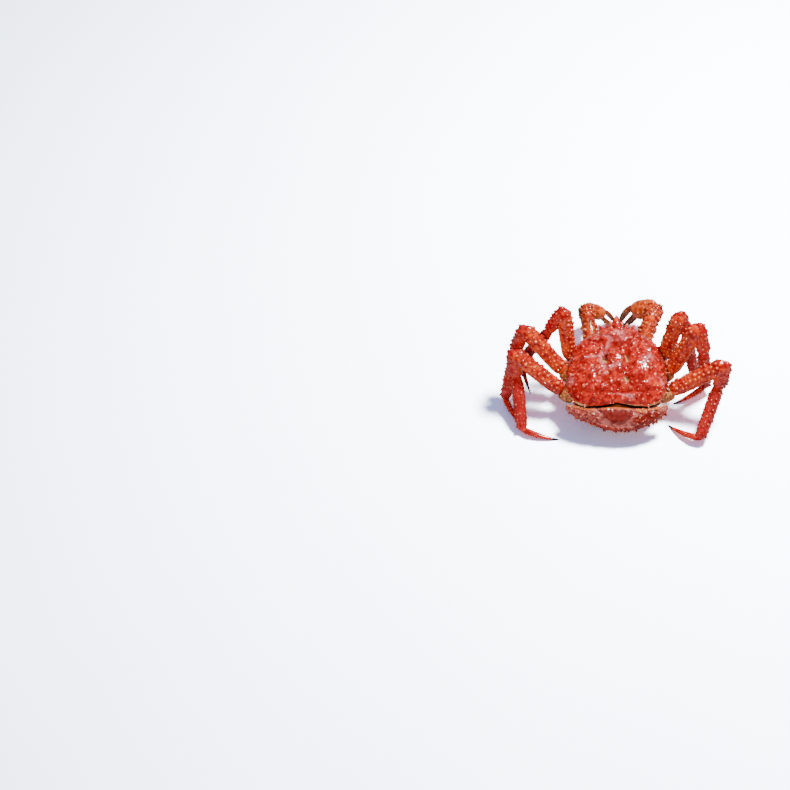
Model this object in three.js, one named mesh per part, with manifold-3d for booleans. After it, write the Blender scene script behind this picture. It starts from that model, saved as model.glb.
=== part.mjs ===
// A red king crab (Paralithodes camtschaticus), boiled, at rest with its legs folded, life size.
// Millimetres, +Z up. The head faces +Y and the crab's own right side is +X.
import * as THREE from "three";
import { mergeVertices } from "three/addons/utils/BufferGeometryUtils.js";
import Module from "manifold-3d";

const wasm = await Module();
wasm.setup();

const DEG = Math.PI / 180;
const point = (x, y, z) => new THREE.Vector3(x, y, z);

// Driving dimensions of the body
const CARAPACE_WIDTH = 182;
const MARGIN_HEIGHT = 63;
const SHOULDER_LIFT = 8;
const BROW_LIFT = 9;
const UNDER_DEPTH = 34;
const SEAM_HEIGHT = 47;
const BODY_FLOOR = 21;
const GAP = 0.4;
const MEMBRANE_GAP = 3;
// The crab's own midline and rear lie off the centre of the posed model's box.
const ORIGIN_SHIFT = point(5.5, -50.5, 0);

// Half of the carapace's outline seen from above, from the brow round to the middle of the rear
const HALF = CARAPACE_WIDTH / 2;
const OUTLINE = new THREE.SplineCurve(
  [
    [0, 111],
    [0.16 * HALF, 109],
    [0.37 * HALF, 100],
    [0.62 * HALF, 83],
    [0.86 * HALF, 61],
    [0.96 * HALF, 30],
    [HALF, 0],
    [0.97 * HALF, -26],
    [0.86 * HALF, -46],
    [0.64 * HALF, -57],
    [0.32 * HALF, -56],
    [0, -53],
  ].map(([x, y]) => new THREE.Vector2(x, y)),
);

// The crown line of the carapace seen from the side, from the rear to the brow
const CROWN = new THREE.SplineCurve(
  [
    [-57, 66],
    [-52, 76],
    [-38, 88],
    [-10, 97],
    [30, 101],
    [62, 104],
    [86, 101],
    [102, 94],
    [111, 86],
  ].map(([y, z]) => new THREE.Vector2(y, z)),
);

// Where the margin rises to the shoulders and to the brow: the first and last y of each rise
const SHOULDER_RISE = [-10, 60];
const BROW_RISE = [84, 112];
// How square the dome's section is, and the rise over the margin at which swellings are full
const DOME_POWER = 4;
const SWELLING_RISE = 12;

// Swollen regions and the grooves between them: [x, y, spread across, spread along, rise], both sides
const REGIONS = [
  [0, 68, 24, 21, 9],
  [0, 3, 15, 17, 7],
  [46, 10, 26, 30, 8],
  [42, -30, 26, 18, 4],
  [20, 24, 7, 17, -7],
  [0, 33, 20, 8, -5],
  [36, 52, 7, 20, -4],
  [0, -38, 14, 10, -5],
];

// Conical spines of the carapace, by region: [x, y, length, base radius], both sides
const CARAPACE_SPINES = [
  [9, 84, 8, 4],
  [8, 66, 9, 4],
  [24, 64, 7, 3.5],
  [8, 10, 8, 3.5],
  [8, -10, 7, 3.5],
  [46, 66, 8, 4],
  [62, 50, 9, 4],
  [38, 34, 8, 4],
  [58, 22, 10, 4.5],
  [77, 26, 9, 4],
  [34, 6, 8, 4],
  [54, -6, 9, 4],
  [76, -6, 8, 4],
  [28, -24, 8, 4],
  [52, -30, 8, 4],
  [14, -40, 6, 3],
  [40, -46, 6, 3],
];
const MARGIN_SPINE = { count: 10, first: 0.13, last: 0.8, length: 8, radius: 2.8 };
// The beak over the eyes, each spine with its azimuth and height: the middle one, and on each side
// one beside it and one at the outer corner of the eye socket
const BEAK = { seat: [0, 100, 90], lean: [90, 22], length: 24, radius: 6.5, sides: 5 };
const BEAK_SIDES = [
  { seat: [6, 104, 92], lean: [70, 42], length: 12, radius: 3.4, sides: 4 },
  { seat: [25, 100, 80], lean: [70, 10], length: 13, radius: 4, sides: 4 },
];

// Half of the outline of the underside, the thorax, from the mouth round to the rear
const THORAX_OUTLINE = new THREE.SplineCurve(
  [
    [0, 97],
    [16, 95],
    [34, 82],
    [52, 58],
    [62, 28],
    [63, -4],
    [58, -34],
    [42, -50],
    [0, -52],
  ].map(([x, y]) => new THREE.Vector2(x, y)),
);
const THORAX_MIDDLE = 38;

// Small parts of the face, on the crab's right
const EYE = { root: [9, 97, 69], lean: [64, 0], stalk: 17, radius: 4.2, ball: 3.6, at: [15, 109, 69] };
const ANTENNA = {
  root: [25, 92, 67],
  lengths: [16, 20, 20, 16],
  bends: [[90, -12], [98, -20], [98, -25], [110, -10]],
  radius: 1,
  stem: [16, 4],
};
const ANTENNULE = {
  root: [4.5, 100, 66],
  lengths: [9, 8, 8],
  bends: [[90, 0], [78, 10], [70, -30]],
  radius: 0.8,
  stem: [10, 2.4],
};
const MAXILLIPED = { root: [11, 94, 32], elbow: [12, 104, 56], tip: [6, 109, 36] };

// Limb pairs: where each limb leaves the body, on the crab's right, and its segments' lengths
const PAIRS = {
  claw: { root: [30, 64, 37], joint: [40, 78, 38], base: [45, 92, 44] },
  front: { root: [46, 44, 37], joint: [68, 52, 43], base: [86, 58, 60] },
  middle: { root: [52, 14, 37], joint: [77, 20, 43], base: [98, 26, 60] },
  hind: { root: [50, -24, 35], joint: [77, -21, 40], base: [100, -14, 52] },
};
const LENGTHS = {
  front: [105, 50, 92, 66],
  middle: [115, 54, 99, 72],
  hind: [114, 52, 97, 73],
  left_claw: [59, 32, 42, 38],
  right_claw: [51, 42, 45, 47],
};

// The folded pose: azimuth from +X and height above the horizon of each segment, in degrees. The
// last one has no height, because it slopes down until its tip is on the floor.
const POSE = {
  left_front: [[111, 73], [-146, -52], [-168, -53], [-66]],
  left_middle: [[158, 50], [-142, -67], [-118, -62], [-60]],
  left_hind: [[157, 34], [-72, -71], [-82, -36], [-13]],
  right_front: [[32, 72], [-26, -75], [-51, -74], [-146]],
  right_middle: [[21, 63], [-72, -65], [18, -85], [-153]],
  right_hind: [[4, 36], [-132, -71], [-114, -34], [143]],
  left_claw: [[98, 14], [101, -6], [7, -34], [12]],
  right_claw: [[70, 21], [77, -3], [170, -26], [175]],
};
const TIP_HEIGHT = -1.2;
// A dactyl bows to the rear and up, so that its point comes down on the floor.
const DACTYL_BOW = point(0, -1, 0.35);

// Width and thickness of each segment where it is thickest
const GIRTH = {
  coxa: [31, 28],
  ischium: [31, 27],
  merus: [30, 25],
  carpus: [25, 21],
  propodus: [23, 19],
  dactyl: [13, 11],
};
const PAIR_GIRTH = { front: 0.93, middle: 1, hind: 1.02 };
const CLAW = {
  left: { merus: [31, 28], carpus: [30, 27], palm: [29, 25], finger: [9, 8.5] },
  right: { merus: [33, 30], carpus: [36, 32], palm: [37, 31], finger: [11, 10] },
};
// The way in which each claw's two fingers stand apart
const CLAW_SPREAD = { left: [48, 30], right: [142, 26] };

// Girth along each kind of segment: [share of the length, share of the radius]
const PROFILES = {
  coxa: [[0, 0], [0, 0.75], [0.5, 1], [1, 0.82], [1.08, 0]],
  ischium: [[-0.08, 0], [0, 0.82], [0.5, 1], [1, 0.82], [1.08, 0]],
  merus: [[-0.03, 0], [0, 0.8], [0.14, 0.97], [0.84, 0.98], [0.97, 0.78], [1.03, 0]],
  carpus: [[-0.1, 0], [-0.02, 0.68], [0.3, 0.98], [0.92, 0.9], [1.05, 0]],
  propodus: [[-0.05, 0], [0, 0.75], [0.16, 1], [0.95, 0.82], [1.03, 0]],
  dactyl: [[-0.08, 0], [0, 0.8], [0.12, 1], [0.5, 0.74], [0.88, 0.28], [1, 0]],
  palm: [[-0.12, 0], [-0.02, 0.66], [0.25, 0.96], [0.65, 1], [0.95, 0.82], [1.06, 0]],
  finger: [[-0.15, 0], [-0.05, 0.9], [0.35, 1], [0.72, 0.66], [1, 0]],
};

// Rows of spines on the limbs: [facet round the segment, first and last share of the length, count]
const SPINE_ROWS = {
  merus: [[0, 0.24, 0.52, 3], [3, 0.24, 0.52, 3]],
  carpus: [[0, 0.4, 0.75, 2], [3, 0.5, 0.5, 1]],
  propodus: [[0, 0.25, 0.8, 3], [3, 0.3, 0.75, 2]],
  palm: [[0, 0.3, 0.75, 2], [1, 0.4, 0.8, 2]],
};
const SPINE_SIZE = {
  merus: [6, 2.6],
  carpus: [6, 2.4],
  propodus: [5, 2],
  palm: [5, 2.2],
};
const SPINE_LEAN = 35;
const SIDES = 8;
const SLIM_SIDES = 6;

// The abdomen: a broad plate across the rear, folding into a flap under the body
const ABDOMEN = {
  halfSpan: 91,
  upper: [-61, 60],
  upperTip: [-50, 60],
  lower: [-90, 29],
  lowerTip: [-61, 50],
  thickness: 24,
  rimSpines: 13,
};
const FLAP = { rear: -76, front: 42, halfWidth: 60, thickness: 10, height: 14, rearHeight: 21 };
const TELSON = { middle: 48, halfLength: 12, halfWidth: 15, halfThickness: 3.6 };

// One closed solid from a geometry, its shared corners merged and its faces turned outwards
function solidFrom(geometry) {
  const bare = geometry.clone();
  bare.deleteAttribute("normal");
  bare.deleteAttribute("uv");
  const merged = mergeVertices(bare, 1e-4);
  const corners = merged.index.array;
  const kept = [];
  for (let i = 0; i < corners.length; i += 3) {
    const [a, b, c] = [corners[i], corners[i + 1], corners[i + 2]];
    if (a !== b && b !== c && c !== a) kept.push(a, b, c);
  }
  const build = (triangles) =>
    new wasm.Manifold(
      new wasm.Mesh({
        numProp: 3,
        vertProperties: new Float32Array(merged.attributes.position.array),
        triVerts: new Uint32Array(triangles),
      }),
    );
  const solid = build(kept);
  return solid.volume() > 0 ? solid : build(kept.slice().reverse());
}

function geometryFrom(solid) {
  const mesh = solid.getMesh();
  const geometry = new THREE.BufferGeometry();
  geometry.setAttribute("position", new THREE.BufferAttribute(mesh.vertProperties, 3));
  geometry.setIndex(new THREE.BufferAttribute(mesh.triVerts, 1));
  geometry.computeVertexNormals();
  return geometry;
}

// The largest body of a solid, which drops the slivers that a cut leaves
function largest(solid) {
  return solid.decompose().sort((a, b) => b.volume() - a.volume())[0];
}

const joined = (solids) => wasm.Manifold.union(solids);
const without = (solid, cutters) => largest(wasm.Manifold.difference([solid, ...cutters]));

function box(width, depth, height, x, y, z) {
  return solidFrom(new THREE.BoxGeometry(width, depth, height).translate(x, y, z));
}
const ABOVE_FLOOR = box(900, 900, 400, 0, 0, 200);

// A sphere whose poles lie along Y, each corner moved by shape(share of the way from front to
// rear, angle round the section, share of the girth there)
function shapedSphere(sides, rings, shape) {
  const geometry = new THREE.SphereGeometry(1, sides, rings);
  const position = geometry.attributes.position;
  for (let i = 0; i < position.count; i++) {
    const corner = point().fromBufferAttribute(position, i);
    const polar = Math.acos(THREE.MathUtils.clamp(corner.y, -1, 1));
    const girth = Math.round(1e6 * Math.sin(polar)) / 1e6;
    const moved = shape(polar / Math.PI, Math.atan2(corner.z, corner.x), girth);
    position.setXYZ(i, moved.x, moved.y, moved.z);
  }
  return geometry;
}

// A spine's cone, its base sunk in whatever it stands on
function cone(seat, direction, length, radius, sides = 5) {
  const sunk = 0.45 * radius;
  const geometry = new THREE.ConeGeometry(radius, length + sunk, sides);
  const turn = new THREE.Quaternion().setFromUnitVectors(point(0, 1, 0), direction);
  const middle = seat.clone().addScaledVector(direction, (length - sunk) / 2);
  geometry.applyQuaternion(turn).translate(middle.x, middle.y, middle.z);
  return solidFrom(geometry);
}

// Reads one coordinate of a plane curve where its other coordinate has a given value
function tableOf(curve, key, value) {
  const rows = curve.getSpacedPoints(240).map((p) => [p[key], p[value]]);
  rows.sort((a, b) => a[0] - b[0]);
  return (at) => {
    const next = rows.findIndex((row) => row[0] >= at);
    if (next < 0) return rows[rows.length - 1][1];
    if (next === 0) return rows[0][1];
    const [[k0, v0], [k1, v1]] = [rows[next - 1], rows[next]];
    return k1 - k0 < 1e-9 ? v1 : v0 + ((v1 - v0) * (at - k0)) / (k1 - k0);
  };
}
const halfWidthAt = tableOf(OUTLINE, "y", "x");
const crownAt = tableOf(CROWN, "x", "y");

// The margin rises towards the shoulders and the brow
function marginAt(y) {
  const shoulder = THREE.MathUtils.smoothstep(y, ...SHOULDER_RISE);
  const brow = THREE.MathUtils.smoothstep(y, ...BROW_RISE);
  return MARGIN_HEIGHT + SHOULDER_LIFT * shoulder + BROW_LIFT * brow;
}

// Height of the carapace's upper face over a point of its plan
function domeHeight(x, y) {
  const margin = marginAt(y);
  const across = Math.min(1, Math.abs(x) / Math.max(halfWidthAt(y), 1));
  const edgeFade = 1 - across ** DOME_POWER;
  const rise = (crownAt(y) - margin) * Math.sqrt(edgeFade);
  let swelling = 0;
  for (const [cx, cy, spreadX, spreadY, height] of REGIONS) {
    for (const side of cx === 0 ? [0] : [-cx, cx]) {
      swelling += height * Math.exp(-(((x - side) / spreadX) ** 2) - ((y - cy) / spreadY) ** 2);
    }
  }
  return margin + rise + swelling * edgeFade * THREE.MathUtils.clamp(rise / SWELLING_RISE, 0, 1);
}

function domeNormal(x, y) {
  const step = 2;
  const slopeX = (domeHeight(x + step, y) - domeHeight(x - step, y)) / (2 * step);
  const slopeY = (domeHeight(x, y + step) - domeHeight(x, y - step)) / (2 * step);
  return point(-slopeX, -slopeY, 1).normalize();
}

// The underside is drawn up under the brow, which leaves room for the eyes and feelers
function carapaceShell(grow = 0) {
  const narrowRim = 30;
  const spread = 1 + grow / 60;
  const shell = shapedSphere(24, 14, (share, angle) => {
    const rim = OUTLINE.getPointAt(share);
    const across = Math.abs(Math.cos(angle)) ** 0.8;
    const x = rim.x * spread * across * Math.sign(Math.cos(angle));
    const drawnUp = THREE.MathUtils.smoothstep(rim.y, 84, 108);
    const depth = UNDER_DEPTH * Math.sqrt(1 - across ** 2.2) * Math.min(1, rim.x / narrowRim);
    const under = marginAt(rim.y) - depth * (1 - drawnUp) - grow;
    const top = domeHeight(x / spread, rim.y) + grow;
    return point(x, rim.y * spread, Math.sin(angle) > 1e-6 ? top : under);
  });
  return solidFrom(shell);
}

function carapaceSpines() {
  const spines = [];
  for (const [x, y, length, radius] of CARAPACE_SPINES) {
    for (const side of [-1, 1]) {
      const seat = point(side * x, y, domeHeight(x, y) - 0.8);
      spines.push(cone(seat, domeNormal(side * x, y), length, radius, 3));
    }
  }
  const { count, first, last, length, radius } = MARGIN_SPINE;
  for (let i = 0; i < count; i++) {
    const share = first + ((last - first) * i) / (count - 1);
    const rim = OUTLINE.getPointAt(share);
    const along = OUTLINE.getTangentAt(share);
    for (const side of [-1, 1]) {
      const out = point(-side * along.y, along.x, 0.35).normalize();
      const seat = point(side * (rim.x - 1.5), rim.y, marginAt(rim.y) + 2);
      spines.push(cone(seat, out, length, radius, 3));
    }
  }
  return spines;
}

function rostrum() {
  const spine = ({ seat, lean, length, radius, sides }, side) => {
    return cone(onSide(seat, side), leaning(lean, side), length, radius, sides);
  };
  return [spine(BEAK, 1), ...BEAK_SIDES.flatMap((row) => [spine(row, -1), spine(row, 1)])];
}

function thoraxBlock(grow = 0) {
  const depth = THORAX_MIDDLE - BODY_FLOOR + grow;
  const spread = 1 + grow / 50;
  const block = shapedSphere(14, 8, (share, angle) => {
    const rim = THORAX_OUTLINE.getPointAt(share);
    const across = Math.abs(Math.cos(angle)) ** 0.7 * Math.sign(Math.cos(angle));
    const lift = depth * Math.abs(Math.sin(angle)) ** 0.6 * Math.sign(Math.sin(angle));
    return point(rim.x * across * spread, rim.y * spread, THORAX_MIDDLE + lift);
  });
  return solidFrom(block);
}

function heading(azimuth, elevation) {
  const level = Math.cos(elevation * DEG);
  return point(
    level * Math.cos(azimuth * DEG),
    level * Math.sin(azimuth * DEG),
    Math.sin(elevation * DEG),
  );
}

// A place, and a direction given by azimuth and height, on the crab's left (-1) or right (1)
const onSide = ([x, y, z], side) => point(side * x, y, z);
const leaning = ([azimuth, height], side) => heading(90 + side * (azimuth - 90), height);

// The joints of a limb from its base outwards
function jointsOf(base, lengths, angles) {
  const joints = [base];
  lengths.forEach((length, i) => {
    const from = joints[i];
    const toFloor = -Math.asin((from.z - TIP_HEIGHT) / length) / DEG;
    const [azimuth, elevation = toFloor] = angles[i];
    joints.push(from.clone().addScaledVector(heading(azimuth, elevation), length));
  });
  return joints;
}

// A limb segment: a lathed profile, flattened, bowed and laid from one joint to the next
function segment({ kind, from, to, wide, girth, bow = 0, sides = SIDES }, grow = 0) {
  const length = from.distanceTo(to);
  const profile = PROFILES[kind];
  const lathe = new THREE.LatheGeometry(
    profile.map(([share, radius]) => new THREE.Vector2(radius, share)),
    sides,
  );
  const position = lathe.attributes.position;
  for (let i = 0; i < position.count; i++) {
    const share = position.getY(i);
    const x = position.getX(i) * (girth[0] / 2 + grow) + bow * 4 * share * (1 - share);
    const z = position.getZ(i) * (girth[1] / 2 + grow);
    position.setXYZ(i, x, share * length + grow * (2 * share - 1), z);
  }
  lathe.applyMatrix4(frameOf(from, to, wide));
  return solidFrom(lathe);
}

// Y runs along the segment and X is its wide way
function frameOf(from, to, wide) {
  const along = to.clone().sub(from).normalize();
  const across = wide.clone().addScaledVector(along, -wide.dot(along)).normalize();
  const third = across.clone().cross(along);
  return new THREE.Matrix4().makeBasis(across, along, third).setPosition(from);
}

function radiusAt(kind, share) {
  const profile = PROFILES[kind];
  const next = profile.findIndex((row) => row[0] > share);
  const [[s0, r0], [s1, r1]] = [profile[next - 1], profile[next]];
  return r0 + ((r1 - r0) * (share - s0)) / (s1 - s0);
}

function segmentSpines({ kind, from, to, wide, girth, bow = 0 }, scale = 1) {
  const frame = frameOf(from, to, wide);
  const length = from.distanceTo(to);
  const [spineLength, spineRadius] = SPINE_SIZE[kind] ?? [0, 0];
  const spines = [];
  for (const [facet, first, last, count] of SPINE_ROWS[kind] ?? []) {
    const angle = ((facet + 0.5) * 360) / SIDES;
    for (let i = 0; i < count; i++) {
      const share = count === 1 ? first : first + ((last - first) * i) / (count - 1);
      const radius = radiusAt(kind, share) * 0.93;
      const out = point(Math.cos(angle * DEG), 0, Math.sin(angle * DEG));
      const seat = point(
        (out.x * radius * girth[0]) / 2 + bow * 4 * share * (1 - share),
        share * length,
        (out.z * radius * girth[1]) / 2,
      );
      const direction = out.multiplyScalar(Math.cos(SPINE_LEAN * DEG));
      direction.y = Math.sin(SPINE_LEAN * DEG);
      spines.push(
        cone(
          seat.applyMatrix4(frame),
          direction.transformDirection(frame),
          spineLength * scale,
          spineRadius * scale,
          3,
        ),
      );
    }
  }
  return spines;
}

// Colours of the boiled shell
const SHELL_RED = new THREE.MeshStandardMaterial({ color: 0xc03a28, roughness: 0.35, metalness: 0 });
const LIMB_RED = new THREE.MeshStandardMaterial({ color: 0xc8432a, roughness: 0.38, metalness: 0 });
const PALE_SHELL = new THREE.MeshStandardMaterial({ color: 0xd9a678, roughness: 0.5, metalness: 0 });
const CLAW_ORANGE = new THREE.MeshStandardMaterial({ color: 0xc4562c, roughness: 0.4, metalness: 0 });
const HORN_BROWN = new THREE.MeshStandardMaterial({ color: 0x5a3a26, roughness: 0.3, metalness: 0 });
const EYE_BLACK = new THREE.MeshStandardMaterial({ color: 0x120d0c, roughness: 0.12, metalness: 0 });

const crab = new THREE.Group();
function add(name, solid, material) {
  const mesh = new THREE.Mesh(geometryFrom(solid), material);
  mesh.name = name;
  crab.add(mesh);
}

// A walking leg: coxa, ischium, merus, carpus, propodus and dactyl, each cut where the one before
// it sits. Returns the leg's grown solids near the body, which the carapace makes room for.
function addLeg(sideName, pair, thoraxCutter) {
  const side = sideName === "left" ? -1 : 1;
  const { root, joint, base } = PAIRS[pair];
  const joints = jointsOf(onSide(base, side), LENGTHS[pair], POSE[`${sideName}_${pair}`]);
  const path = [onSide(root, side), onSide(joint, side), ...joints];
  const fold = joints[1].clone().sub(joints[0]).cross(joints[2].clone().sub(joints[1]));
  const kinds = ["coxa", "ischium", "merus", "carpus", "propodus", "dactyl"];
  const roomFor = [];
  let previous = thoraxCutter;
  kinds.forEach((kind, i) => {
    const [from, to] = [path[i], path[i + 1]];
    const along = to.clone().sub(from).normalize();
    const piece = {
      kind,
      from,
      to,
      wide: kind === "dactyl" ? DACTYL_BOW : fold.clone().cross(along).negate(),
      girth: GIRTH[kind].map((size) => size * PAIR_GIRTH[pair]),
      bow: kind === "dactyl" ? 5 : 0,
      sides: ["coxa", "ischium", "dactyl"].includes(kind) ? SLIM_SIDES : SIDES,
    };
    const whole = joined([segment(piece), ...segmentSpines(piece)]);
    const grown = segment(piece, GAP);
    const material = kind === "coxa" || kind === "ischium" ? PALE_SHELL : LIMB_RED;
    add(`${sideName}_${pair}_${kind}`, without(whole, [previous]).intersect(ABOVE_FLOOR), material);
    if (i < 3) roomFor.push(grown);
    previous = grown;
  });
  return roomFor;
}

// A claw limb: its base, merus, carpus, the palm with its fixed finger, and the moving finger
function addClaw(sideName, thoraxCutter) {
  const side = sideName === "left" ? -1 : 1;
  const size = CLAW[sideName];
  const { root, joint, base } = PAIRS.claw;
  const limb = `${sideName}_claw`;
  const [shoulder, elbow, heel, knuckle, tips] = jointsOf(onSide(base, side), LENGTHS[limb], POSE[limb]);
  const spread = heading(...CLAW_SPREAD[sideName]);
  const up = point(0, 0, 1);
  const link = (kind, from, to, girth, wide = up, sides = SIDES) => {
    return { kind, from, to, wide, girth, sides };
  };
  const coxa = link("coxa", onSide(root, side), onSide(joint, side), [24, 22], up, SLIM_SIDES);
  const ischium = link("ischium", coxa.to, shoulder, [23, 21], up, SLIM_SIDES);
  const merus = link("merus", shoulder, elbow, size.merus);
  const carpus = link("carpus", elbow, heel, size.carpus);
  const palm = link("palm", heel, knuckle, size.palm, spread);
  const finger = (way) => ({
    ...link("finger", knuckle, tips, size.finger, spread.clone().multiplyScalar(way)),
    from: knuckle.clone().addScaledVector(spread, way * size.palm[0] * 0.27),
    to: tips.clone().addScaledVector(spread, way * size.finger[0] * 0.45),
    bow: 2.5,
    sides: SLIM_SIDES,
  });
  const limbBase = joined([segment(coxa), segment(ischium)]);
  const baseCutter = joined([segment(coxa, GAP), segment(ischium, GAP)]);
  const trimmed = (solid, cutters) => without(solid, cutters).intersect(ABOVE_FLOOR);
  const spiny = (piece) => joined([segment(piece), ...segmentSpines(piece, 0.9)]);
  add(`${limb}_base`, trimmed(limbBase, [thoraxCutter]), PALE_SHELL);
  add(`${limb}_merus`, trimmed(spiny(merus), [baseCutter]), CLAW_ORANGE);
  add(`${limb}_carpus`, trimmed(spiny(carpus), [segment(merus, GAP)]), CLAW_ORANGE);
  const hand = joined([spiny(palm), segment(finger(-1))]);
  add(`${limb}_palm`, trimmed(hand, [segment(carpus, GAP)]), CLAW_ORANGE);
  const fingerCutters = [segment(palm, GAP), segment(finger(-1), GAP)];
  add(`${limb}_finger`, trimmed(segment(finger(1)), fingerCutters), HORN_BROWN);
  return [baseCutter, segment(merus, GAP)];
}

// The abdomen's upper and lower edges at a share of the way from the midline to its end
function abdomenEdge(middle, tip, share) {
  return new THREE.Vector2(...middle).lerp(new THREE.Vector2(...tip), Math.abs(share) ** 1.9);
}

// The broad second segment of the abdomen, lofted from end to end across the rear
function abdomenBase(grow = 0) {
  const { halfSpan, upper, upperTip, lower, lowerTip, thickness } = ABDOMEN;
  const plate = shapedSphere(10, 12, (share, angle, girth) => {
    const s = Math.cos(share * Math.PI);
    const top = abdomenEdge(upper, upperTip, s);
    const bottom = abdomenEdge(lower, lowerTip, s);
    const middle = top.clone().add(bottom).divideScalar(2);
    const down = bottom.clone().sub(top);
    const half = (down.length() / 2 + grow) * girth ** 0.25;
    down.normalize();
    const along = Math.cos(angle) * half;
    const out = Math.sin(angle) * (thickness / 2 + grow) * Math.sqrt(girth);
    return point(
      s * (halfSpan + grow),
      middle.x + down.x * along + down.y * out,
      middle.y + down.y * along - down.x * out,
    );
  });
  return solidFrom(plate);
}

function abdomenRimSpines() {
  const { halfSpan, lower, lowerTip, rimSpines } = ABDOMEN;
  const spines = [];
  for (let i = 0; i < rimSpines; i++) {
    const s = -0.9 + (1.8 * i) / (rimSpines - 1);
    const rim = abdomenEdge(lower, lowerTip, s);
    spines.push(cone(point(s * halfSpan, rim.x + 2, rim.y + 2), heading(-90 + 45 * s, -28), 7, 2.6, 3));
  }
  return spines;
}

// The rest of the abdomen, folded forward under the body
function abdomenFlap(grow = 0) {
  const { rear, front, halfWidth, thickness, height, rearHeight } = FLAP;
  const plate = shapedSphere(12, 9, (share, angle, girth) => {
    const y = rear - grow + ((front - rear + 2 * grow) * (1 + Math.cos(share * Math.PI))) / 2;
    const taper = y > 0 ? 1 - 0.35 * (y / front) ** 2 : 1;
    const x = halfWidth * Math.sqrt(girth) * taper * Math.cos(angle);
    const lift = (rearHeight - height) * THREE.MathUtils.smoothstep(-y, 60, -rear);
    const half = (thickness / 2 + grow) * Math.sqrt(girth);
    return point(x * (1 + grow / 40), y, height + lift + half * Math.sin(angle));
  });
  return solidFrom(plate);
}

// The last plate of the abdomen, at the flap's front edge
function telson() {
  const { halfLength, halfWidth, halfThickness, middle } = TELSON;
  const plate = shapedSphere(8, 6, (share, angle, girth) => {
    const y = middle + halfLength * Math.cos(share * Math.PI);
    const z = FLAP.height + halfThickness * Math.sqrt(girth) * Math.sin(angle);
    return point(halfWidth * girth * Math.cos(angle), y, z);
  });
  return solidFrom(plate);
}

// A feeler: an extruded section along a curve, with a thicker first joint
function feeler({ root, lengths, bends, radius, stem }, side) {
  const points = [onSide(root, side)];
  lengths.forEach((length, i) => {
    points.push(points[i].clone().addScaledVector(leaning(bends[i], side), length));
  });
  const section = new THREE.Shape().absarc(0, 0, radius, 0, 2 * Math.PI);
  const whip = new THREE.ExtrudeGeometry(section, {
    curveSegments: 2,
    steps: 2 * lengths.length,
    bevelEnabled: false,
    extrudePath: new THREE.CatmullRomCurve3(points),
  });
  return joined([solidFrom(whip), cone(points[0], leaning(bends[0], side), ...stem, 5)]);
}

// An eye on its short stalk, under the brow
function eye({ root, lean, stalk, radius, ball, at }, side) {
  const middle = onSide(at, side);
  const globe = new THREE.SphereGeometry(ball, 7, 5).translate(middle.x, middle.y, middle.z);
  return joined([cone(onSide(root, side), leaning(lean, side), stalk, radius, 5), solidFrom(globe)]);
}

// The outermost mouthpart, a small folded limb on the front of the face
function maxilliped({ root, elbow, tip }, side) {
  const [from, middle, to] = [root, elbow, tip].map((place) => onSide(place, side));
  const shared = { wide: point(0, 1, 0), sides: 5 };
  const upper = segment({ kind: "ischium", from, to: middle, girth: [10, 9], ...shared });
  const lower = segment({ kind: "finger", from: middle, to, girth: [8, 6], ...shared });
  return joined([upper, lower]);
}

const thoraxCutter = thoraxBlock(GAP);
const rooms = [];
for (const side of ["left", "right"]) {
  rooms.push(...addClaw(side, thoraxCutter));
  for (const pair of ["front", "middle", "hind"]) rooms.push(...addLeg(side, pair, thoraxCutter));
}

const thorax = thoraxBlock().intersect(box(300, 300, 60, 0, 0, SEAM_HEIGHT - GAP / 2 - 30));
add("thorax", thorax, PALE_SHELL);
const upperBody = carapaceShell().intersect(box(300, 300, 90, 0, 0, SEAM_HEIGHT + GAP / 2 + 45));
const shell = joined([upperBody, ...carapaceSpines(), ...rostrum()]);
add("carapace", without(shell, [...rooms, abdomenBase(MEMBRANE_GAP)]), SHELL_RED);
const tail = joined([abdomenBase(), ...abdomenRimSpines()]);
add("abdomen_base", without(tail, [thoraxCutter, ...rooms]), SHELL_RED);
const flapCutters = [abdomenBase(GAP), thoraxCutter];
add("abdomen_flap", without(abdomenFlap(), flapCutters), PALE_SHELL);
add("telson", without(telson(), [abdomenFlap(GAP), thoraxCutter]), PALE_SHELL);

const bodyRoom = [carapaceShell(GAP), thoraxCutter];
for (const [name, side] of [["left", -1], ["right", 1]]) {
  add(`${name}_eye`, without(eye(EYE, side), bodyRoom), EYE_BLACK);
  add(`${name}_antenna`, without(feeler(ANTENNA, side), bodyRoom), LIMB_RED);
  add(`${name}_antennule`, without(feeler(ANTENNULE, side), bodyRoom), LIMB_RED);
  add(`${name}_maxilliped`, without(maxilliped(MAXILLIPED, side), bodyRoom), PALE_SHELL);
}

crab.position.copy(ORIGIN_SHIFT);
export default crab;
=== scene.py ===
# %% [markdown]
# # A boiled red king crab with folded legs
# The lesson gives a life-size king crab its looks, as a museum would show it: the spiny carapace,
# six walking legs, two claws, the abdomen, the eyes and the feelers. A solid of each piece is
# loaded first and never changed. Each finished piece takes the place of one of those solids.
# Pieces are modelled in millimetres round the crab's own midline, with the head towards +Y and
# the crab's right side towards +X. The last step of each piece brings it to metres.

# %% Load the fixed solids
import math

import bpy
import numpy as np
from mathutils import Matrix, Vector


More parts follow.
